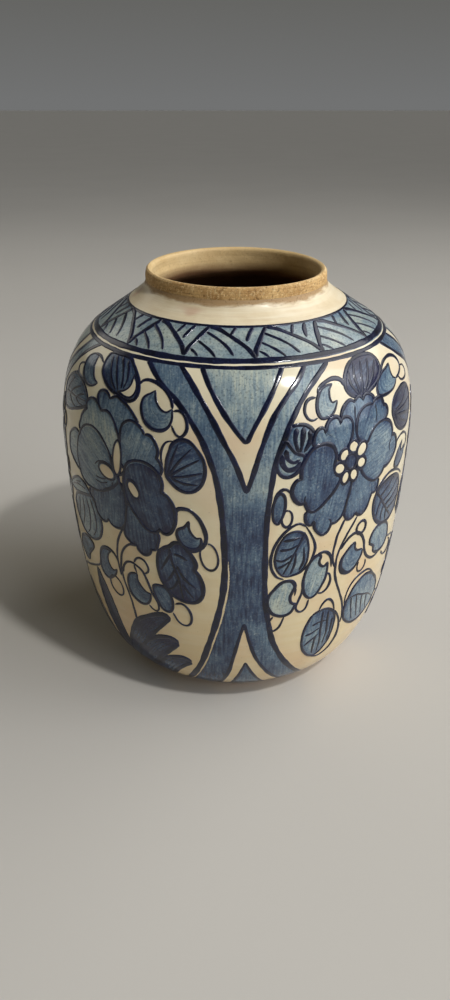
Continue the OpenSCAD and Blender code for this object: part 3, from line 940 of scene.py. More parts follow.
def daisy_panel(sh):
    """Right panel: an open flower with a reserved heart, over berries and leaves."""
    stem(sh, [(33.2, 133), (30.8, 124), (30.1, 118), (29.7, 112), (30.2, 107), (31.2, 103)], 1.4)
    stem(sh, [(38, 131), (34.6, 122.3), (32.6, 116), (31.5, 110), (31.3, 103), (31.7, 97), (33, 90.5),
              (35, 82.5), (37, 74), (38, 66), (38.4, 58)], 1.5)
    stem(sh, [(58.8, 103), (61.4, 99.8), (66, 97), (70, 90), (73, 78)], 1.3)
    stem(sh, [(62, 60), (67, 52), (74, 46)], 1.3)
    stem(sh, [(63.6, 118), (69, 108), (75, 104), (80, 103), (84.6, 103.4)], 1.2)
    # leaf by the ring, nearly black
    patch(sh, [(40.3, 213.2), (37.5, 211), (35.2, 207.8), (33.6, 203.6), (33.4, 199.4), (35.4, 196),
               (39.1, 194.6), (43.6, 196.6), (47.3, 199), (50.2, 202.2), (52, 206), (52, 210), (50, 213.2),
               (45, 214.2)], (42.6, 204.4), 0.96, 70, 1.8, 0.12)
    veins(sh, 1.6, [(37.9, 196), (35.6, 202), (36.7, 208.9)], [(38.4, 196), (38, 204), (39.9, 211.7)],
          [(39.2, 196), (41, 204), (43.6, 211.7)], [(40.4, 196.4), (44, 203.6), (47.3, 211.7)],
          [(41.6, 196.8), (46, 202.4), (50.6, 209.6)])
    crescent(sh, [(57.9, 204.2), (54.5, 202.8), (51, 201.7), (47.7, 198.9), (46.2, 195), (46.6, 191.9),
                  (50, 191), (54.3, 191.4), (57.1, 193), (59.2, 195.3)],
             [(57.9, 204.2), (56.9, 201.6), (56.6, 199), (57.3, 196.6), (59.2, 195.3)], 0.42)
    sh.stroke([(50, 201.8), (52.2, 204), (55, 206.2), (58.4, 207.2), (62, 206.8), (64.9, 204.6),
               (66, 201.4), (64.9, 198), (62, 196), (59.2, 195.3)], 1.8, (0.7, 1.1, 0.8))
    stem(sh, [(61.2, 195.6), (62.4, 193.1), (65, 191.7), (68.4, 192), (70, 194.6), (69, 197.6),
              (66, 199)], 1.2)
    crescent(sh, [(28.9, 204.2), (25.6, 203.1), (23.6, 200.3), (22.5, 196), (22.5, 191.7), (23.6, 188.9),
                  (25.8, 188.9), (27.8, 191.2), (29.4, 196)],
             [(28.9, 204.2), (27.4, 201.6), (27, 198), (27.6, 195.4), (29.4, 196)], 0.42)
    sh.stroke([(23.4, 199.4), (23.7, 201.9), (24.9, 204), (26.8, 205.4), (29.3, 206.4), (31.3, 206),
               (32.7, 204.3), (32.7, 202)], 1.8, (0.8, 1.1, 1.2))
    stem(sh, [(22.5, 198.9), (20.7, 198.9), (19.1, 197.1), (18.4, 193), (19.3, 189.7), (20.7, 188.6),
              (22.3, 189.4)], 1.5)
    # dark two-part leaf
    patch(sh, [(14.3, 186.6), (16.4, 187.4), (18.6, 186.8), (20.3, 184.6), (21.3, 181), (21.1, 177.4),
               (20, 174.2), (18, 172.1), (16, 172.9), (14.1, 176), (12.8, 180), (13.3, 184)], (17, 180),
          0.66, 25, 1.8, 0.3)
    veins(sh, 2.4, [(15.8, 186), (15.3, 180.3), (16.4, 173.6)], [(17.8, 186.2), (17.4, 180), (16.8, 174)],
          [(19.5, 184.4), (19.6, 179.4), (17.8, 174)])
    patch(sh, [(12.8, 179.6), (11.2, 175.3), (10.2, 170.3), (10.6, 166), (12, 163.2), (14, 162.6),
               (16, 164.4), (17.5, 168), (18, 172.1), (15.2, 174.6)], (13.8, 169.6), 0.62, 30, 1.9, 0.4)
    veins(sh, 2.8, [(11.6, 174), (11.8, 169.4), (13.4, 166.2), (15.6, 166.8), (17, 169.8)])
    veins(sh, 2.2, [(12.6, 176.4), (13.2, 171.8), (15, 169.6), (16.8, 170.8)])
    leaf_dark = [(52.6, 180), (53.2, 184.6), (55.6, 187.8), (59.5, 189.5), (64, 189.6), (68, 186.6),
                 (69.4, 180), (68, 172), (64.6, 167.4), (60.4, 167.2), (56.6, 170), (54, 174.6)]
    patch(sh, leaf_dark, (61, 178.6), 0.97, 80, 1.8, 0.14)
    veins(sh, 1.7, [(53.6, 180), (60, 182), (66.4, 187)], [(53.8, 179), (61, 179), (68.6, 180.6)],
          [(54, 178), (61, 175.6), (67.6, 173)], [(54.4, 177), (59.4, 172.6), (64, 169)])
    crescent(sh, [(60.8, 160.4), (58.4, 157.6), (56.2, 153), (56, 148.6), (58.4, 146), (61.4, 147.4),
                  (63.4, 151.6), (63.6, 156)],
             [(60.8, 160.4), (60.2, 156.4), (61.2, 154.2), (63.6, 156)], 0.62)
    sh.stroke([(55, 158), (55.7, 162.4), (58.4, 164.4), (62, 164), (65, 161), (66, 156.6),
               (64.6, 153)], 1.5)
    # leaf with a drawn-back edge
    patch(sh, [(45.3, 136), (45.2, 130), (46.6, 124), (49, 119.5), (53, 116), (57.5, 115), (61.6, 118),
               (63.8, 124.5), (63.8, 132), (61, 139), (56, 143), (51, 143.2), (47.3, 140.8)], (54.6, 129.6),
          0.78, 20, 2.0)
    veins(sh, 1.7, [(46.6, 139), (51, 130), (55, 122), (58.6, 116)],
          [(48.6, 135.6), (53, 138.4), (57, 142)], [(50.6, 131), (55.6, 133.4), (61, 138)],
          [(52.4, 127.4), (57.6, 128.8), (63, 132.6)], [(54.4, 123.6), (59, 123.6), (63, 125.6)],
          [(49.6, 133), (48, 128), (47.6, 123.4)], [(51.8, 128.6), (50.6, 124), (50.8, 119)],
          [(54, 124.4), (53.6, 120), (54.4, 116.4)])
    sh.stroke([(45.8, 137.6), (46.4, 140.8), (48.2, 144), (50.7, 146.1), (53.4, 146.9), (57, 145.6),
               (61, 142.6), (64.6, 138)], 1.5, (1, 1.1, 0.6))
    # slim berry, leaf and pale berries beside the divider
    patch(sh, [(11.6, 154.2), (12.8, 152), (13.1, 147), (12.4, 141), (11.2, 137.4), (9.9, 140), (9.6, 146),
               (10.3, 151.6)], (11.4, 146), 0.66, 0, 1.5)
    sh.stroke([(9.6, 149.4), (10.4, 153.6), (12, 156), (13.4, 155.8), (14.5, 153.6), (14.8, 150.6)], 1.5)
    ringlet(sh, 13.8, 139.8, 5.4, 9.4, 0, 1.2)
    patch(sh, [(13, 128.6), (11.4, 123), (10.8, 116), (11.8, 109), (14, 105.2), (17, 105.2), (19.4, 107.4),
               (20.8, 113), (21, 121), (19.8, 128.4), (17.4, 131.6), (14.8, 131.2)], (16.2, 118),
          0.6, 24, 1.2)
    veins(sh, 1.5, [(19.6, 130.4), (18, 124), (16.6, 118.6), (15, 112), (13.4, 106)],
          [(12.1, 121.6), (15.4, 121.8), (18.2, 124)], [(11, 116.2), (13.4, 115), (16.6, 118.6)],
          [(11.6, 111), (13.2, 111.8), (15.6, 114.6)], [(15.8, 106), (16.8, 112), (17.2, 119)],
          [(18.4, 107.4), (19.7, 113.7), (19.4, 122)], [(13, 127), (15.6, 127.2), (18.8, 128)])
    sh.stroke([(13.8, 103.2), (11.6, 105.4), (10, 110.5), (9.6, 117), (10.5, 124), (12.4, 130), (15, 134.4),
               (17.6, 136), (19.8, 133.6)], 1.4, (0.8, 1.2, 0.8))
    sh.stroke([(19.6, 134), (21.6, 128), (23.1, 121), (22.6, 114.4), (21.1, 109.4), (19, 106),
               (17, 105)], 1.5)
    patch(sh, [(16.6, 100.9), (15, 101.7), (13.3, 101), (11.4, 97.8), (9.6, 93), (9.3, 87), (10.8, 81),
               (14, 78.2), (16.8, 79.6), (18.4, 85, 1), (16.8, 86.6), (16.3, 90.4), (17, 94.6),
               (17.6, 97.6)], (13, 89.6), 0.12, 8, 1.9)
    sh.stroke([(17.4, 98.4), (17.9, 94.6), (17.8, 90.8)], 1.3)
    stem(sh, [(20.2, 97), (20.1, 92), (19.2, 87), (18.6, 82.4), (19.4, 79.4), (20.8, 78.8), (22.1, 81),
              (22.7, 86.4)], 1.4)
    stem(sh, [(11.3, 78.6), (10.3, 75), (10.5, 70.6), (11.6, 67.6), (13.2, 69.4), (14.2, 73),
              (14.9, 77.4)], 1.3)
    patch(sh, [(25.4, 113.4), (24.3, 114.6), (22.3, 112), (20.9, 106.6), (20.2, 99.4), (20.7, 92.6),
               (22, 88.4), (23.6, 87.2), (25.4, 89.4), (27, 94.6), (28, 100), (28.1, 108, 1), (26.8, 106.4),
               (25.5, 107.8), (25, 110.4)], (24, 100), 0.44, 10, 1.6)
    sh.stroke([(21.9, 111.2), (24, 114.6), (26.2, 115.7), (28, 114), (29.1, 110.6), (29.6, 104.4)], 1.7)
    stem(sh, [(28.2, 101.2), (29.4, 99.5), (29.9, 95), (29.1, 90.6), (27.4, 88.6), (25.6, 89)], 1.5)
    crescent(sh, [(38.5, 114.8), (36.7, 113.2), (34.6, 109.6), (33.4, 105.9), (33.4, 101.6), (34.6, 98),
                  (36.8, 95.9), (39, 96.8), (40.8, 99.6), (42.2, 104), (42.4, 107.6)],
             [(38.5, 114.8), (38.6, 111.2), (39.7, 108.7), (41.1, 107.8), (42.4, 107.6)], 0.42, 2.0)
    stem(sh, [(32.6, 113.7), (34.2, 117.3), (35.9, 119.8), (37.9, 120.6), (39.9, 119.2), (41.6, 116),
              (42.8, 111.6), (43.4, 107.2), (44.4, 103), (46.1, 99.4), (48.5, 96.6), (51, 95.9),
              (53.6, 97)], 1.8)
    ringlet(sh, 40.4, 122.6, 7.2, 7.8, 0, 1.7)
    ringlet(sh, 43.2, 96.4, 7, 9, 0, 1.1, 60, 250)
    patch(sh, [(46.3, 107.4, 1), (46.1, 111), (47.5, 114.8), (50, 116.5), (53.4, 115.6), (56.4, 113),
               (58.2, 108.4), (58.8, 103), (58, 98.8), (55, 97), (51.6, 97.8), (49.2, 100.6),
               (48.6, 104.4)], (53, 106.6), 0.46, -30, 1.7)
    stem(sh, [(55.9, 94.4), (57.1, 91.6), (59.2, 89.2), (62, 88.6), (64, 91), (63.6, 95), (61.6, 98)], 1.3)
    # low leaves
    patch(sh, [(39.6, 76), (38.6, 69), (39.3, 61.4), (41.8, 55.6), (45.6, 51.2), (50, 50), (54.6, 51.6),
               (58.4, 56), (59.6, 63), (58, 70.6), (54.8, 78), (50.6, 84), (46, 86.2), (42, 82.6)],
          (48.6, 68), 0.42, -20, 1.7)
    veins(sh, 1.3, [(39.8, 75), (44, 74.2), (48, 70.8), (52.6, 66.8), (57.4, 60)],
          [(41.2, 74.4), (42.4, 65.6), (44.6, 55)], [(44.2, 73.8), (45.4, 65.4), (47.4, 54)],
          [(47.7, 71), (48.6, 63.4), (50.8, 52.6)], [(51.4, 67.6), (52, 61), (54, 54)])
    sh.stroke([(38.2, 72), (38, 78), (39.4, 85), (41.8, 88.4), (45, 89.5), (48.4, 88.6), (51.6, 84),
               (54.6, 76.6)], 1.4)
    patch(sh, [(25.2, 73.4), (23.8, 69), (22.8, 63.4), (22.5, 57), (23, 50), (24.6, 43.6), (27.2, 38.4),
               (29.6, 36.6), (32, 39.4), (34, 46), (34.8, 54), (34.9, 63), (33.8, 70), (31, 74.6),
               (28, 75.4)], (28.8, 57), 0.56, 0, 1.4)
    veins(sh, 1.6, [(31.2, 73), (31.6, 64), (32.1, 56), (31.7, 46)],
          [(29, 74), (29.3, 60), (30, 51), (30.2, 40)], [(27.7, 56), (27.7, 47), (28.2, 39.6)],
          [(25.4, 65), (28, 66.4), (31, 66)], [(23.4, 58.4), (26, 59.2), (29, 62)],
          [(23.8, 49.6), (26.2, 53.2), (28.8, 57)], [(33.6, 66), (33.8, 57), (33.4, 47)])
    sh.stroke([(27.2, 75), (28, 79), (29.8, 81.9), (31.5, 80.6), (32.8, 77), (33.8, 71.6)], 1.5)
    sh.stroke([(34, 71.2), (35.8, 66.4), (37.4, 59.8), (38.1, 53), (37.9, 46), (36.6, 40), (34.6, 36),
               (32, 34.2), (29.6, 35.4), (28, 37.6)], 1.8)
    # fillers towards the next divider
    half_open(sh, 77, 146, 20)
    berry(sh, 79, 172, 11, 14, 0, 300, tone=0.5)
    ringlet(sh, 75.4, 163, 7, 9)
    leaf(sh, 72.4, 122, 30, 15, 26, 4, 0.6, -1)
    berry(sh, 82, 120, 12, 15, 10, 60, tone=0.45)
    leaf(sh, 81.4, 91, 22, 15, 27, 4, 0.5, 1)
    berry(sh, 69.6, 84, 13, 16, -10, 50, tone=0.55)
    ringlet(sh, 66.4, 73.4, 7, 10, 15)
    leaf(sh, 76.4, 60, 30, 16, 28, 4, 0.55)
    berry(sh, 67, 44, 14, 17, 0, 40, tone=0.45)
    # the flower, outer petals first
    patch(sh, [(33.8, 173), (31.4, 180), (29.9, 186.6), (30.4, 190.4), (32, 193.3), (33.9, 194.6),
               (35.3, 193.2, 1), (36.7, 195), (38, 195.1), (38.8, 193.4, 1), (40.3, 195.3), (42.4, 194.5),
               (43.7, 191.6), (42.6, 184), (38, 175)], (36.4, 185), 0.62, 3, 1.7)
    veins(sh, 1.2, [(35.1, 191.6), (34.8, 186), (34.6, 178)], [(36.4, 188), (35.4, 183), (35.2, 177)])
    patch(sh, [(35.4, 176), (35.2, 181.4), (35.7, 185), (36.8, 187.7), (38.6, 189.5), (40.8, 190.1),
               (42.6, 189.4, 1), (43.6, 190.9), (45.4, 191.4), (47.2, 190.4), (48, 186.8, 1), (49.2, 185.8),
               (49.6, 183.4), (48.8, 180.6), (45, 175), (39, 170)], (41.6, 181), 0.62, 30, 1.8)
    veins(sh, 0.9, [(43.7, 189), (43.8, 184.6), (43.2, 180)])
    patch(sh, [(21, 176), (20.9, 180.4), (21.8, 183.4), (23.2, 184.5), (24.1, 183.6), (24.4, 181.6, 1),
               (24.9, 185), (26, 187.4), (27.8, 188.5), (29.1, 187.5), (29.4, 185, 1), (30.2, 187),
               (31.7, 187.4), (33.1, 186), (33.7, 183.4), (33.4, 178), (31, 171), (25, 168)], (27.6, 178),
          0.53, -15, 1.8)
    patch(sh, [(36, 159), (40, 154), (45.4, 149), (46.1, 146.4), (45.8, 143.4), (44.8, 141.3),
               (43.3, 141.5, 1), (42.6, 138.4), (41.8, 134.8), (40.7, 132.2), (39.2, 131.2), (37.9, 131.9),
               (36.7, 133.9, 1), (35.8, 132), (34.2, 131.3), (33, 133), (32.3, 136), (32.7, 142),
               (33.5, 148), (33.9, 154)], (38.4, 144), 0.68, -10, 1.6)
    patch(sh, [(31, 159), (25, 152), (19.9, 143.4), (19.2, 139), (19.9, 135.4), (21.2, 134.3),
               (22, 136.4, 1), (22.3, 132.2), (23.4, 129), (25, 126.9), (26.6, 127.9), (27.5, 130.6),
               (27.7, 132.5, 1), (29.2, 132.2), (31, 134.4), (32.1, 138.3), (32.8, 143.4), (33.6, 149),
               (33.6, 155)], (27.6, 143), 0.68, 12, 1.7)
    veins(sh, 1.2, [(27.6, 132.6), (27.4, 134.6), (26.6, 135.6)])
    patch(sh, [(37.8, 167), (39.8, 172.6), (41.3, 176.2), (43.4, 178.5), (46, 179.4), (48.6, 178.8),
               (50.8, 176.4), (52, 172), (51.8, 168.4, 1), (53.3, 168.4), (54.8, 165.6), (55.2, 161.6),
               (54.2, 157.4), (51.8, 154.4), (49.3, 153.2), (48.2, 153.8, 1), (47.4, 151), (45.2, 148.8),
               (43, 148.8), (40.6, 151.2), (38.6, 154.4), (37.2, 159)], (45.4, 164), 0.58, 80, 1.8, 0.14)
    veins(sh, 1.0, [(51.8, 168.2), (50.4, 165), (50.6, 161)])
    patch(sh, [(17.3, 160.4, 1), (16, 160), (15, 157), (14.9, 153.3), (15.8, 149.9), (17.3, 147.6),
               (18.8, 147.6, 1), (19.4, 145), (20.3, 142.5), (21.7, 141.8), (23.6, 143.5), (25.5, 146.6),
               (27.4, 150), (28.8, 153.6), (29.7, 156.8), (29.3, 158.5), (28.2, 159.6), (27.4, 162),
               (27.4, 165.6), (27.9, 169), (27.5, 172.2), (26.7, 174.7), (25.3, 176.4), (23.5, 176.8),
               (21.3, 175.9), (19.7, 173.8), (18.4, 170.6), (17.4, 166.4)], (22.6, 160), 0.7, 4, 2.1, 0.02)
    veins(sh, 1.1, [(17.2, 160.8), (17.5, 163), (17.4, 165)], [(18.8, 147.4), (18.6, 149.6), (18.9, 151.6)])
    sh.stroke([(20, 174.2), (21.6, 175.8), (23.6, 176.6), (25.4, 176), (26.9, 173.8), (27.6, 170)], 2.6,
              (0.3, 1, 0.3))
    for az, s, w, h, turn in ((33.9, 171.8, 6.2, 6.2, 0), (30.6, 168.8, 5.4, 6.5, 35),
                              (29.2, 162.4, 6.1, 6.5, -60), (31.4, 156.6, 4.8, 6.8, 12),
                              (34.4, 156.9, 5.2, 6.8, -12), (37.1, 162.3, 6.1, 6, 70),
                              (37, 169.2, 6.1, 8.1, 38)):
        oval(sh, az, s, w, h, turn, 1.7)
    oval(sh, 33.1, 164.5, 7, 8, 0, 1.7, "wash", 0.95)


def half_open(sh, az, s, turn):
    """Half-open flower on its side: three petals over a striped cup."""
    sp = Spot(az, s, turn)
    for x, y, t, w, h in ((-6.5, 6, -32, 11, 19), (6.5, 6, 32, 11, 19), (0, 8, 0, 13, 20)):
        c = sp.on([(x, y)])[0]
        q = Spot(c[0], c[1], turn + t)
        out = q.on(oval_xy(w, h, 44))
        sh.begin(out)
        sh.fan(out, c, 0.5, turn + t, 0.12)
        sh.loop(out, 1.5)
    cup = sp.on([(-8, 0), (-7, -6), (-3.4, -10.4), (0, -11.6), (3.4, -10.4), (7, -6), (8, 0), (4, 2.4),
                 (0, 0.6), (-4, 2.4)])
    out = curve_through(cup, 0.8, True)
    sh.begin(out)
    sh.fan(out, sp.on([(0, -4)])[0], 0.8, turn, 0.1)
    sh.loop(out, 1.5)
    for x in (-4.4, 0, 4.4):
        sh.stroke(sp.on([(x * 0.4, -10), (x, -4.6), (x, 0)]), 1.2, (0.8, 1.1, 0.6))


# ---------------------------------------------------------------- dividers

OUT_LEFT = [(-35, 216), (-27.5, 205.6), (-19.8, 196), (-13.4, 183), (-9.6, 169), (-7.6, 156), (-6.5, 140),
            (-5.9, 120), (-6.1, 103), (-7.1, 89), (-9, 73), (-11.5, 57), (-14.1, 42), (-17.4, 29),
            (-22, 15), (-26, 5)]
OUT_RIGHT = [(28.4, 216), (21.6, 207.8), (16.5, 200), (12.7, 191), (9.5, 180), (7.6, 169), (6.4, 152),
             (5.8, 135.6), (5.8, 110), (6.4, 89), (7.6, 75.6), (9.2, 62), (11.4, 52), (14.6, 41), (19, 30),
             (25, 17), (31, 5)]
V_LEFT = [(-22.6, 216), (-17.2, 206.7), (-11.5, 194.4), (-6.4, 180), (-3.2, 170), (0, 155.3)]
V_RIGHT = [(19.6, 216), (15.5, 207.8), (11.4, 201), (6.9, 191), (3.8, 177.8), (1.8, 165.6), (0, 155.3)]
W_LEFT = [(-15, 216), (-11.5, 205.6), (-7.1, 194.4), (-3.2, 185.6), (-0.4, 180)]
W_RIGHT = [(11.6, 216), (8.8, 207.8), (5.7, 199), (1.8, 187.8), (-0.4, 180)]
LEG_LEFT = [(0.1, 74.6), (-1.7, 61), (-3.3, 46.7), (-4.8, 33.3), (-7.4, 20), (-11, 5)]
LEG_RIGHT = [(0.1, 74.6), (2.2, 59), (4.4, 46.7), (7.6, 35.6), (12, 24), (21, 5)]
TRI_LEFT = [(1, 42.3), (-0.4, 33.3), (-2.9, 20), (-5.6, 5)]
TRI_RIGHT = [(1, 42.3), (3.1, 33), (6.6, 21), (12, 5)]
BAR_TOP = 215.5
BAR_FOOT = 5


def divider(sh, at):
    """Upright blue bar that forks at the top and the bottom, with its two cream chevrons."""
    def moved(path):
        return curve_through([(at + a, s) for a, s in path], 1.0)

    def side(path, s, off=0.0):
        """The path's place at each height s, shifted off mm sideways."""
        o = np.argsort(path[:, 1])
        return np.stack([np.interp(s, path[o, 1], path[o, 0]) + off / mm_per_deg(s), s], -1)

    out_left, out_right, v_left, v_right, w_left, w_right = (
        moved(p) for p in (OUT_LEFT, OUT_RIGHT, V_LEFT, V_RIGHT, W_LEFT, W_RIGHT))
    leg_left, leg_right, tri_left, tri_right = (
        moved(p) for p in (LEG_LEFT, LEG_RIGHT, TRI_LEFT, TRI_RIGHT))
    fork, legs = v_left[-1], leg_left[0]
    sh.begin()
    # The last value of each part lightens it towards the top and the bottom: right arm and right leg
    # lighter, left leg darker, a painted light from the right
    for lo, hi, a, b, pale in ((fork[1], BAR_TOP, out_left, v_left, 0),
                               (fork[1], BAR_TOP, v_right, out_right, 0.16),
                               (legs[1], fork[1], out_left, out_right, 0),
                               (BAR_FOOT, legs[1], out_left, leg_left, -0.04),
                               (BAR_FOOT, legs[1], leg_right, out_right, 0.08)):
        s = np.linspace(lo, hi, 60)
        gap = 0.4 + 2.1 * ease((132 - s) / 30) if a is out_left else 0
        depth = np.interp(s, [5, 60, 95, 128, 152, 175, 216], [0.78, 0.70, 0.62, 0.82, 0.45, 0.47, 0.50])
        sh.ladder(side(a, s, gap), side(b, s), depth - pale * ease(abs(s - 115) / 70), None, 14, at)
    for path, other, foot_tone, head_tone in ((w_left, w_right, 0.42, 0.10),
                                              (tri_left, tri_right, 0.45, 0.6)):
        s = np.linspace(path[:, 1].min(), path[:, 1].max(), 30)
        sh.ladder(side(path, s), side(other, s), np.linspace(foot_tone, head_tone, 30), None, 14, at)
    sh.stroke(out_left, 3.0, (0.75, 1.05, 1.0), True)
    sh.stroke(out_right, 2.8, (0.8, 1.0, 1.05), True)
    for a, b, w in ((v_left, v_right, 2.5), (w_left, w_right, 2.3), (leg_left, leg_right, 1.9),
                    (tri_left, tri_right, 1.6)):
        sh.stroke(a, w, (0.9, 1.05, 0.9), True)
        sh.stroke(b, w, (0.9, 1.0, 0.9), True)


# ---------------------------------------------------------------- shoulder band

# One repeat of the zigzag, in degrees after its foot and mm along the profile
RISE = [(0, 221), (0.5, 226), (1.9, 230.2), (4.2, 236), (6.6, 240.4)]
FALL = [(6.6, 240.4), (11, 239), (14.2, 236.6), (17.5, 233.6), (20.8, 230), (23.5, 226.2), (25.7, 221)]
UNDER = [([(5, 236.8), (8, 234.6), (11.5, 231.5), (14.6, 227.5), (17, 222.4)], 1.5),
         ([(3, 230.8), (6.3, 227.8), (9, 224.7), (11.2, 221.2)], 1.4),
         ([(1.3, 225.4), (3.3, 223.4), (4.9, 221.2)], 1.3)]
OVER = [([(19.8, 240.4), (18.5, 238.2), (17.1, 234.8)], 1.6),
        ([(26, 240.4), (24.2, 237.3), (23, 233.8), (22.4, 231.4)], 1.9)]
REPEATS = 14


def hatch_band(sh):
    """Zigzag round the shoulder, each triangle hatched against its neighbour."""
    for i in range(REPEATS):
        b = 5.4 + i * 360 / REPEATS
        j = sh.rng.normal(0, 0.4, 8)
        sh.begin()
        for k, (path, w) in enumerate([(RISE, 2.3), (FALL, 2.2)] + UNDER + OVER):
            slip = 0 if k < 2 else j[k]
            sh.stroke([(b + a + slip, s) for a, s in path], w, (0.95, 1.05, 0.85))


def ring(sh, s, w):
    """Painted ring all round, a little lower in front, as the wheel left it."""
    az = np.linspace(0, 360, 721)
    a = np.radians(az)
    wob = 0.10 * np.sin(3 * a + s) + 0.07 * np.sin(7 * a + 2 * s) - 0.35 * np.cos(a) + 0.3 * np.sin(a)
    sh.stroke(np.stack([az, s + wob], -1), w, (1, 1, 1), True)


# ---------------------------------------------------------------- the pot


def keep(ob, slot_name, *replaced):
    """Attaches a visible piece to the root body and hides the CAD nodes it stands for; slot_name is not
    used.
    """
    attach(ob, "root")
    if replaced:
        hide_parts(*replaced)


ROWS = np.r_[np.arange(0, BAND_S, 1.6), BAND_S]
keep(turned("glazed_body", SKIN, ROWS, MAT["cream"]), "cream_glaze",
     "body_glaze", "heel", "lower_wall", "upper_wall", "shoulder_turn")
keep(turned("shoulder_band", SKIN, np.linspace(BAND_S, TOP_S, 24), MAT["band"]), "blue_wash",
     "shoulder_glaze", "shoulder")
keep(turned("collar", COLLAR, np.linspace(0, COLLAR.length, 20), MAT["pale"], around=300,
            rough=lambda az, s: ripple(az, s, 3, 6, 0.12) * ease(s / 2)), "pale_glaze", "collar_glaze")

# Rim band: rounded lip, worn and a little uneven, up to its top
lip = [(LIP_R + GLAZE - 0.5, RIM_Z - 0.6), (LIP_R + GLAZE - 0.05, RIM_Z - 0.1), (LIP_R + 0.35, RIM_Z + 0.8),
       (LIP_R + 0.4, RIM_Z + 2.4), (LIP_R + 0.2, TOP_Z - 2.0), (LIP_R - 0.15, TOP_Z - 0.9),
       (LIP_R - 0.8, TOP_Z - 0.2), (LIP_R - 1.2, TOP_Z)]


def rounded(points, n=60):
    """Smooth line through a few profile points, evenly sampled."""
    p = np.array(points, float)
    t = np.r_[0, np.cumsum(np.linalg.norm(np.diff(p, axis=0), axis=1))]
    q = np.linspace(0, t[-1], n)
    line = np.stack([np.interp(q, t, p[:, 0]), np.interp(q, t, p[:, 1])], -1)
    for _ in range(3):
        line[1:-1] = (line[:-2] + 2 * line[1:-1] + line[2:]) / 4
    return line


def worn(az, s):
    """Chipped, sandy unevenness of the lip, in mm."""
    chips = ease((ripple(az * 3, s, 11, 6, 1.0) - 0.30) / 0.2)
    return (ripple(az, s, 5, 9, 0.25) + ripple(az * 7, s, 8, 5, 0.12) - 0.3 * chips) * ease(s / 2.5) \
        * ease((RIM.length - s) / 3)


RIM = Profile(rounded(lip))
keep(turned("bare_rim", RIM, np.linspace(0, RIM.length, 40), MAT["rim"], around=480, rough=worn),
     "rim_clay", "rim_lip")

# Inside: straight mouth, under the shoulder, down the wall and across the floor
inner_up = bezier(UPPER, 80, -WALL - GLAZE)[0][::-1]
inner_low = bezier(LOWER, 80, -WALL - GLAZE)[0][::-1]
mouth = [(LIP_R - 1.2, TOP_Z), (MOUTH_R + 1.0, TOP_Z - 0.05), (MOUTH_R + 0.3, TOP_Z - 0.5),
         (MOUTH_R, TOP_Z - 1.5), (MOUTH_R, TOP_Z - 12), (MOUTH_R + 0.9, TOP_Z - 14.2),
         (MOUTH_R + 3.4, TOP_Z - 16.4)]
INNER = Profile(np.vstack([rounded(mouth + [tuple(inner_up[0])], 40), inner_up[1:], inner_low[1:],
                           [(40, inner_low[-1][1]), (1.0, inner_low[-1][1])]]))
keep(turned("inside", INNER, np.r_[np.linspace(0, 24, 30), np.linspace(25, INNER.length, 150)],
            MAT["inside"], around=240, rough=lambda az, s: ripple(az, s, 21, 5, 0.15) * ease(s / 4)),
     "inner_glaze", "inner_glaze", "neck_collar")

# Foot: bevelled ring and the recessed base inside it
foot = [(FOOT_R + GLAZE + 0.5, FOOT_H + 0.4), (FOOT_R + 0.1, FOOT_H - 0.5), (FOOT_R, 1.2),
        (FOOT_R - 0.5, 0.3), (FOOT_R - 1.6, 0.02), (FOOT_R - 8.6, 0.02), (FOOT_R - 9.6, 0.5),
        (FOOT_R - 10, 1.4), (FOOT_R - 10.2, FOOT_H - 1.6), (FOOT_R - 11.4, FOOT_H - 0.3),
        (FOOT_R - 14, FOOT_H), (30, FOOT_H), (1.0, FOOT_H)]
FOOT = Profile(rounded(foot, 140))
keep(turned("foot", FOOT, np.linspace(0, FOOT.length, 120), MAT["foot"], around=240, flip=True,
            rough=lambda az, s: ripple(az, s, 31, 6, 0.08)), "bare_clay", "foot_ring", "base_slab")

# ---------------------------------------------------------------- the painting

DIVIDERS = (2.2, 95.5, 184.0, 273.0)
sheets = []
for name, draw, shift, drift, seed in (("peony_front", peony_panel, 0, 0, 1),
                                       ("daisy_front", daisy_panel, 0, 0, 2),
                                       ("peony_back", peony_panel, 182.2, 1, 3),
                                       ("daisy_back", daisy_panel, 179.7, 1, 4)):
    sh = Sheet(name, seed, shift, drift)
    draw(sh)
    sheets.append(sh)
for i, at in enumerate(DIVIDERS):
    sh = Sheet(f"divider_{i + 1}", 20 + i, 0, 0 if i == 0 else 1)
    divider(sh, at)
    sheets.append(sh)
band = Sheet("band", 40)
hatch_band(band)
sheets.append(band)
for sh in sheets:
    for ob, slot_name in sh.build():
        keep(ob, slot_name)
rings = Sheet("rings", 50)
ring(rings, BAND_S - 1.85, 2.0)
ring(rings, BAND_S + 1.9, 2.9)
ring(rings, TOP_S - 0.3, 1.5)
keep(rings.lines_object(), "cobalt", "ring_lines")

# ---------------------------------------------------------------- floor, light, camera


def plain(name, colour, rough):
    m = Nodes(name, rough, 0.2)
    m.colour(m.mix(m.span(m.noise(3, 2), 0.3, 0.7), colour, tuple(c * 0.97 for c in colour[:3]) + (1,)))
    return m.mat


FLOOR_SIZE = 60.0
FLOOR_Z = -0.0002    # just under the foot
HORIZON = (0.165, 0.168, 0.168, 1)
OVERHEAD = (0.060, 0.053, 0.034, 1)
FADE_HEIGHT = 0.3    # height on a sky of radius 1 where OVERHEAD is reached

bpy.ops.mesh.primitive_plane_add(size=FLOOR_SIZE, location=(0, 0, FLOOR_Z))
floor = bpy.context.object
floor.name = "floor"
floor.data.materials.append(plain("floor_pale", srgb(200, 196, 188), 0.75))

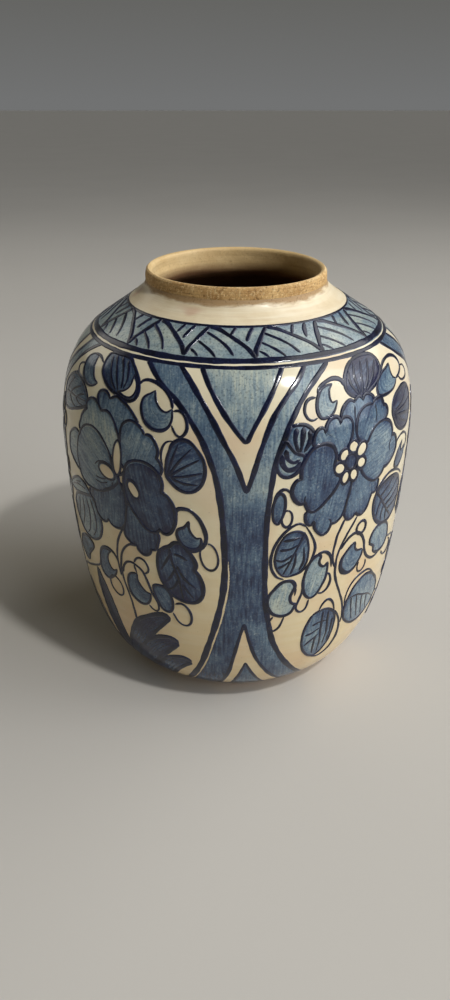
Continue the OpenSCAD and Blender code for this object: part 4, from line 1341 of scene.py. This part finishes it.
world = bpy.data.worlds.new("studio")
bpy.context.scene.world = world
world.use_nodes = True
sky = world.node_tree.nodes.new("ShaderNodeTexCoord")
height = world.node_tree.nodes.new("ShaderNodeSeparateXYZ")
glow = world.node_tree.nodes.new("ShaderNodeMapRange")
back = world.node_tree.nodes["Background"]
for a, b in ((sky.outputs["Generated"], height.inputs[0]), (height.outputs["Z"], glow.inputs["Value"])):
    world.node_tree.links.new(a, b)
glow.inputs["From Max"].default_value = FADE_HEIGHT
tint = world.node_tree.nodes.new("ShaderNodeMix")
tint.data_type = "RGBA"
tint.inputs["A"].default_value = HORIZON
tint.inputs["B"].default_value = OVERHEAD
world.node_tree.links.new(glow.outputs[0], tint.inputs["Factor"])
world.node_tree.links.new(tint.outputs["Result"], back.inputs["Color"])

bpy.context.scene.view_settings.view_transform = "Standard"


def aimed(name, kind, where, at, energy, colour):
    """A light at one place pointing at another."""
    data = bpy.data.lights.new(name, kind)
    data.energy, data.color = energy, colour
    ob = bpy.data.objects.new(name, data)
    bpy.context.scene.collection.objects.link(ob)
    ob.location = where
    d = np.array(at, float) - np.array(where, float)
    ob.rotation_euler = (math.atan2(math.hypot(d[0], d[1]), -d[2]), 0, math.atan2(d[1], d[0]) - math.pi / 2)
    return data


def softbox(name, where, size, watts, colour):
    """Round area light aimed about half way up the pot."""
    data = aimed(name, "AREA", where, (0, 0, 0.12), watts, colour)
    data.shape, data.size = "DISK", size


softbox("key", (0.70, -0.70, 1.48), 0.12, 11, (1.0, 0.99, 0.98))
softbox("top", (1.2, 0.3, 1.35), 1.7, 14, (1.0, 0.99, 0.98))
softbox("back", (-1.2, 0.9, 0.9), 0.9, 2.0, (1.0, 0.97, 0.92))
aimed("side", "SUN", (0.92, -0.41, 0.42), (0, 0, 0), 1.8, (0.94, 0.985, 1.08)).angle = math.radians(60)

SENSOR = 36                                # mm, measured up the frame
LENS = 0.721 * SENSOR
CAMERA_AT = (-0.0063, -0.4005, 0.3128)
CAMERA_PITCH = 28.97                       # degrees below level

cam_data = bpy.data.cameras.new("camera")
cam = bpy.data.objects.new("camera", cam_data)
bpy.context.scene.collection.objects.link(cam)
cam_data.sensor_fit = "VERTICAL"
cam_data.sensor_height = SENSOR
cam_data.lens = LENS
cam.location = CAMERA_AT
cam.rotation_euler = (math.radians(90 - CAMERA_PITCH), 0, 0)
bpy.context.scene.camera = cam
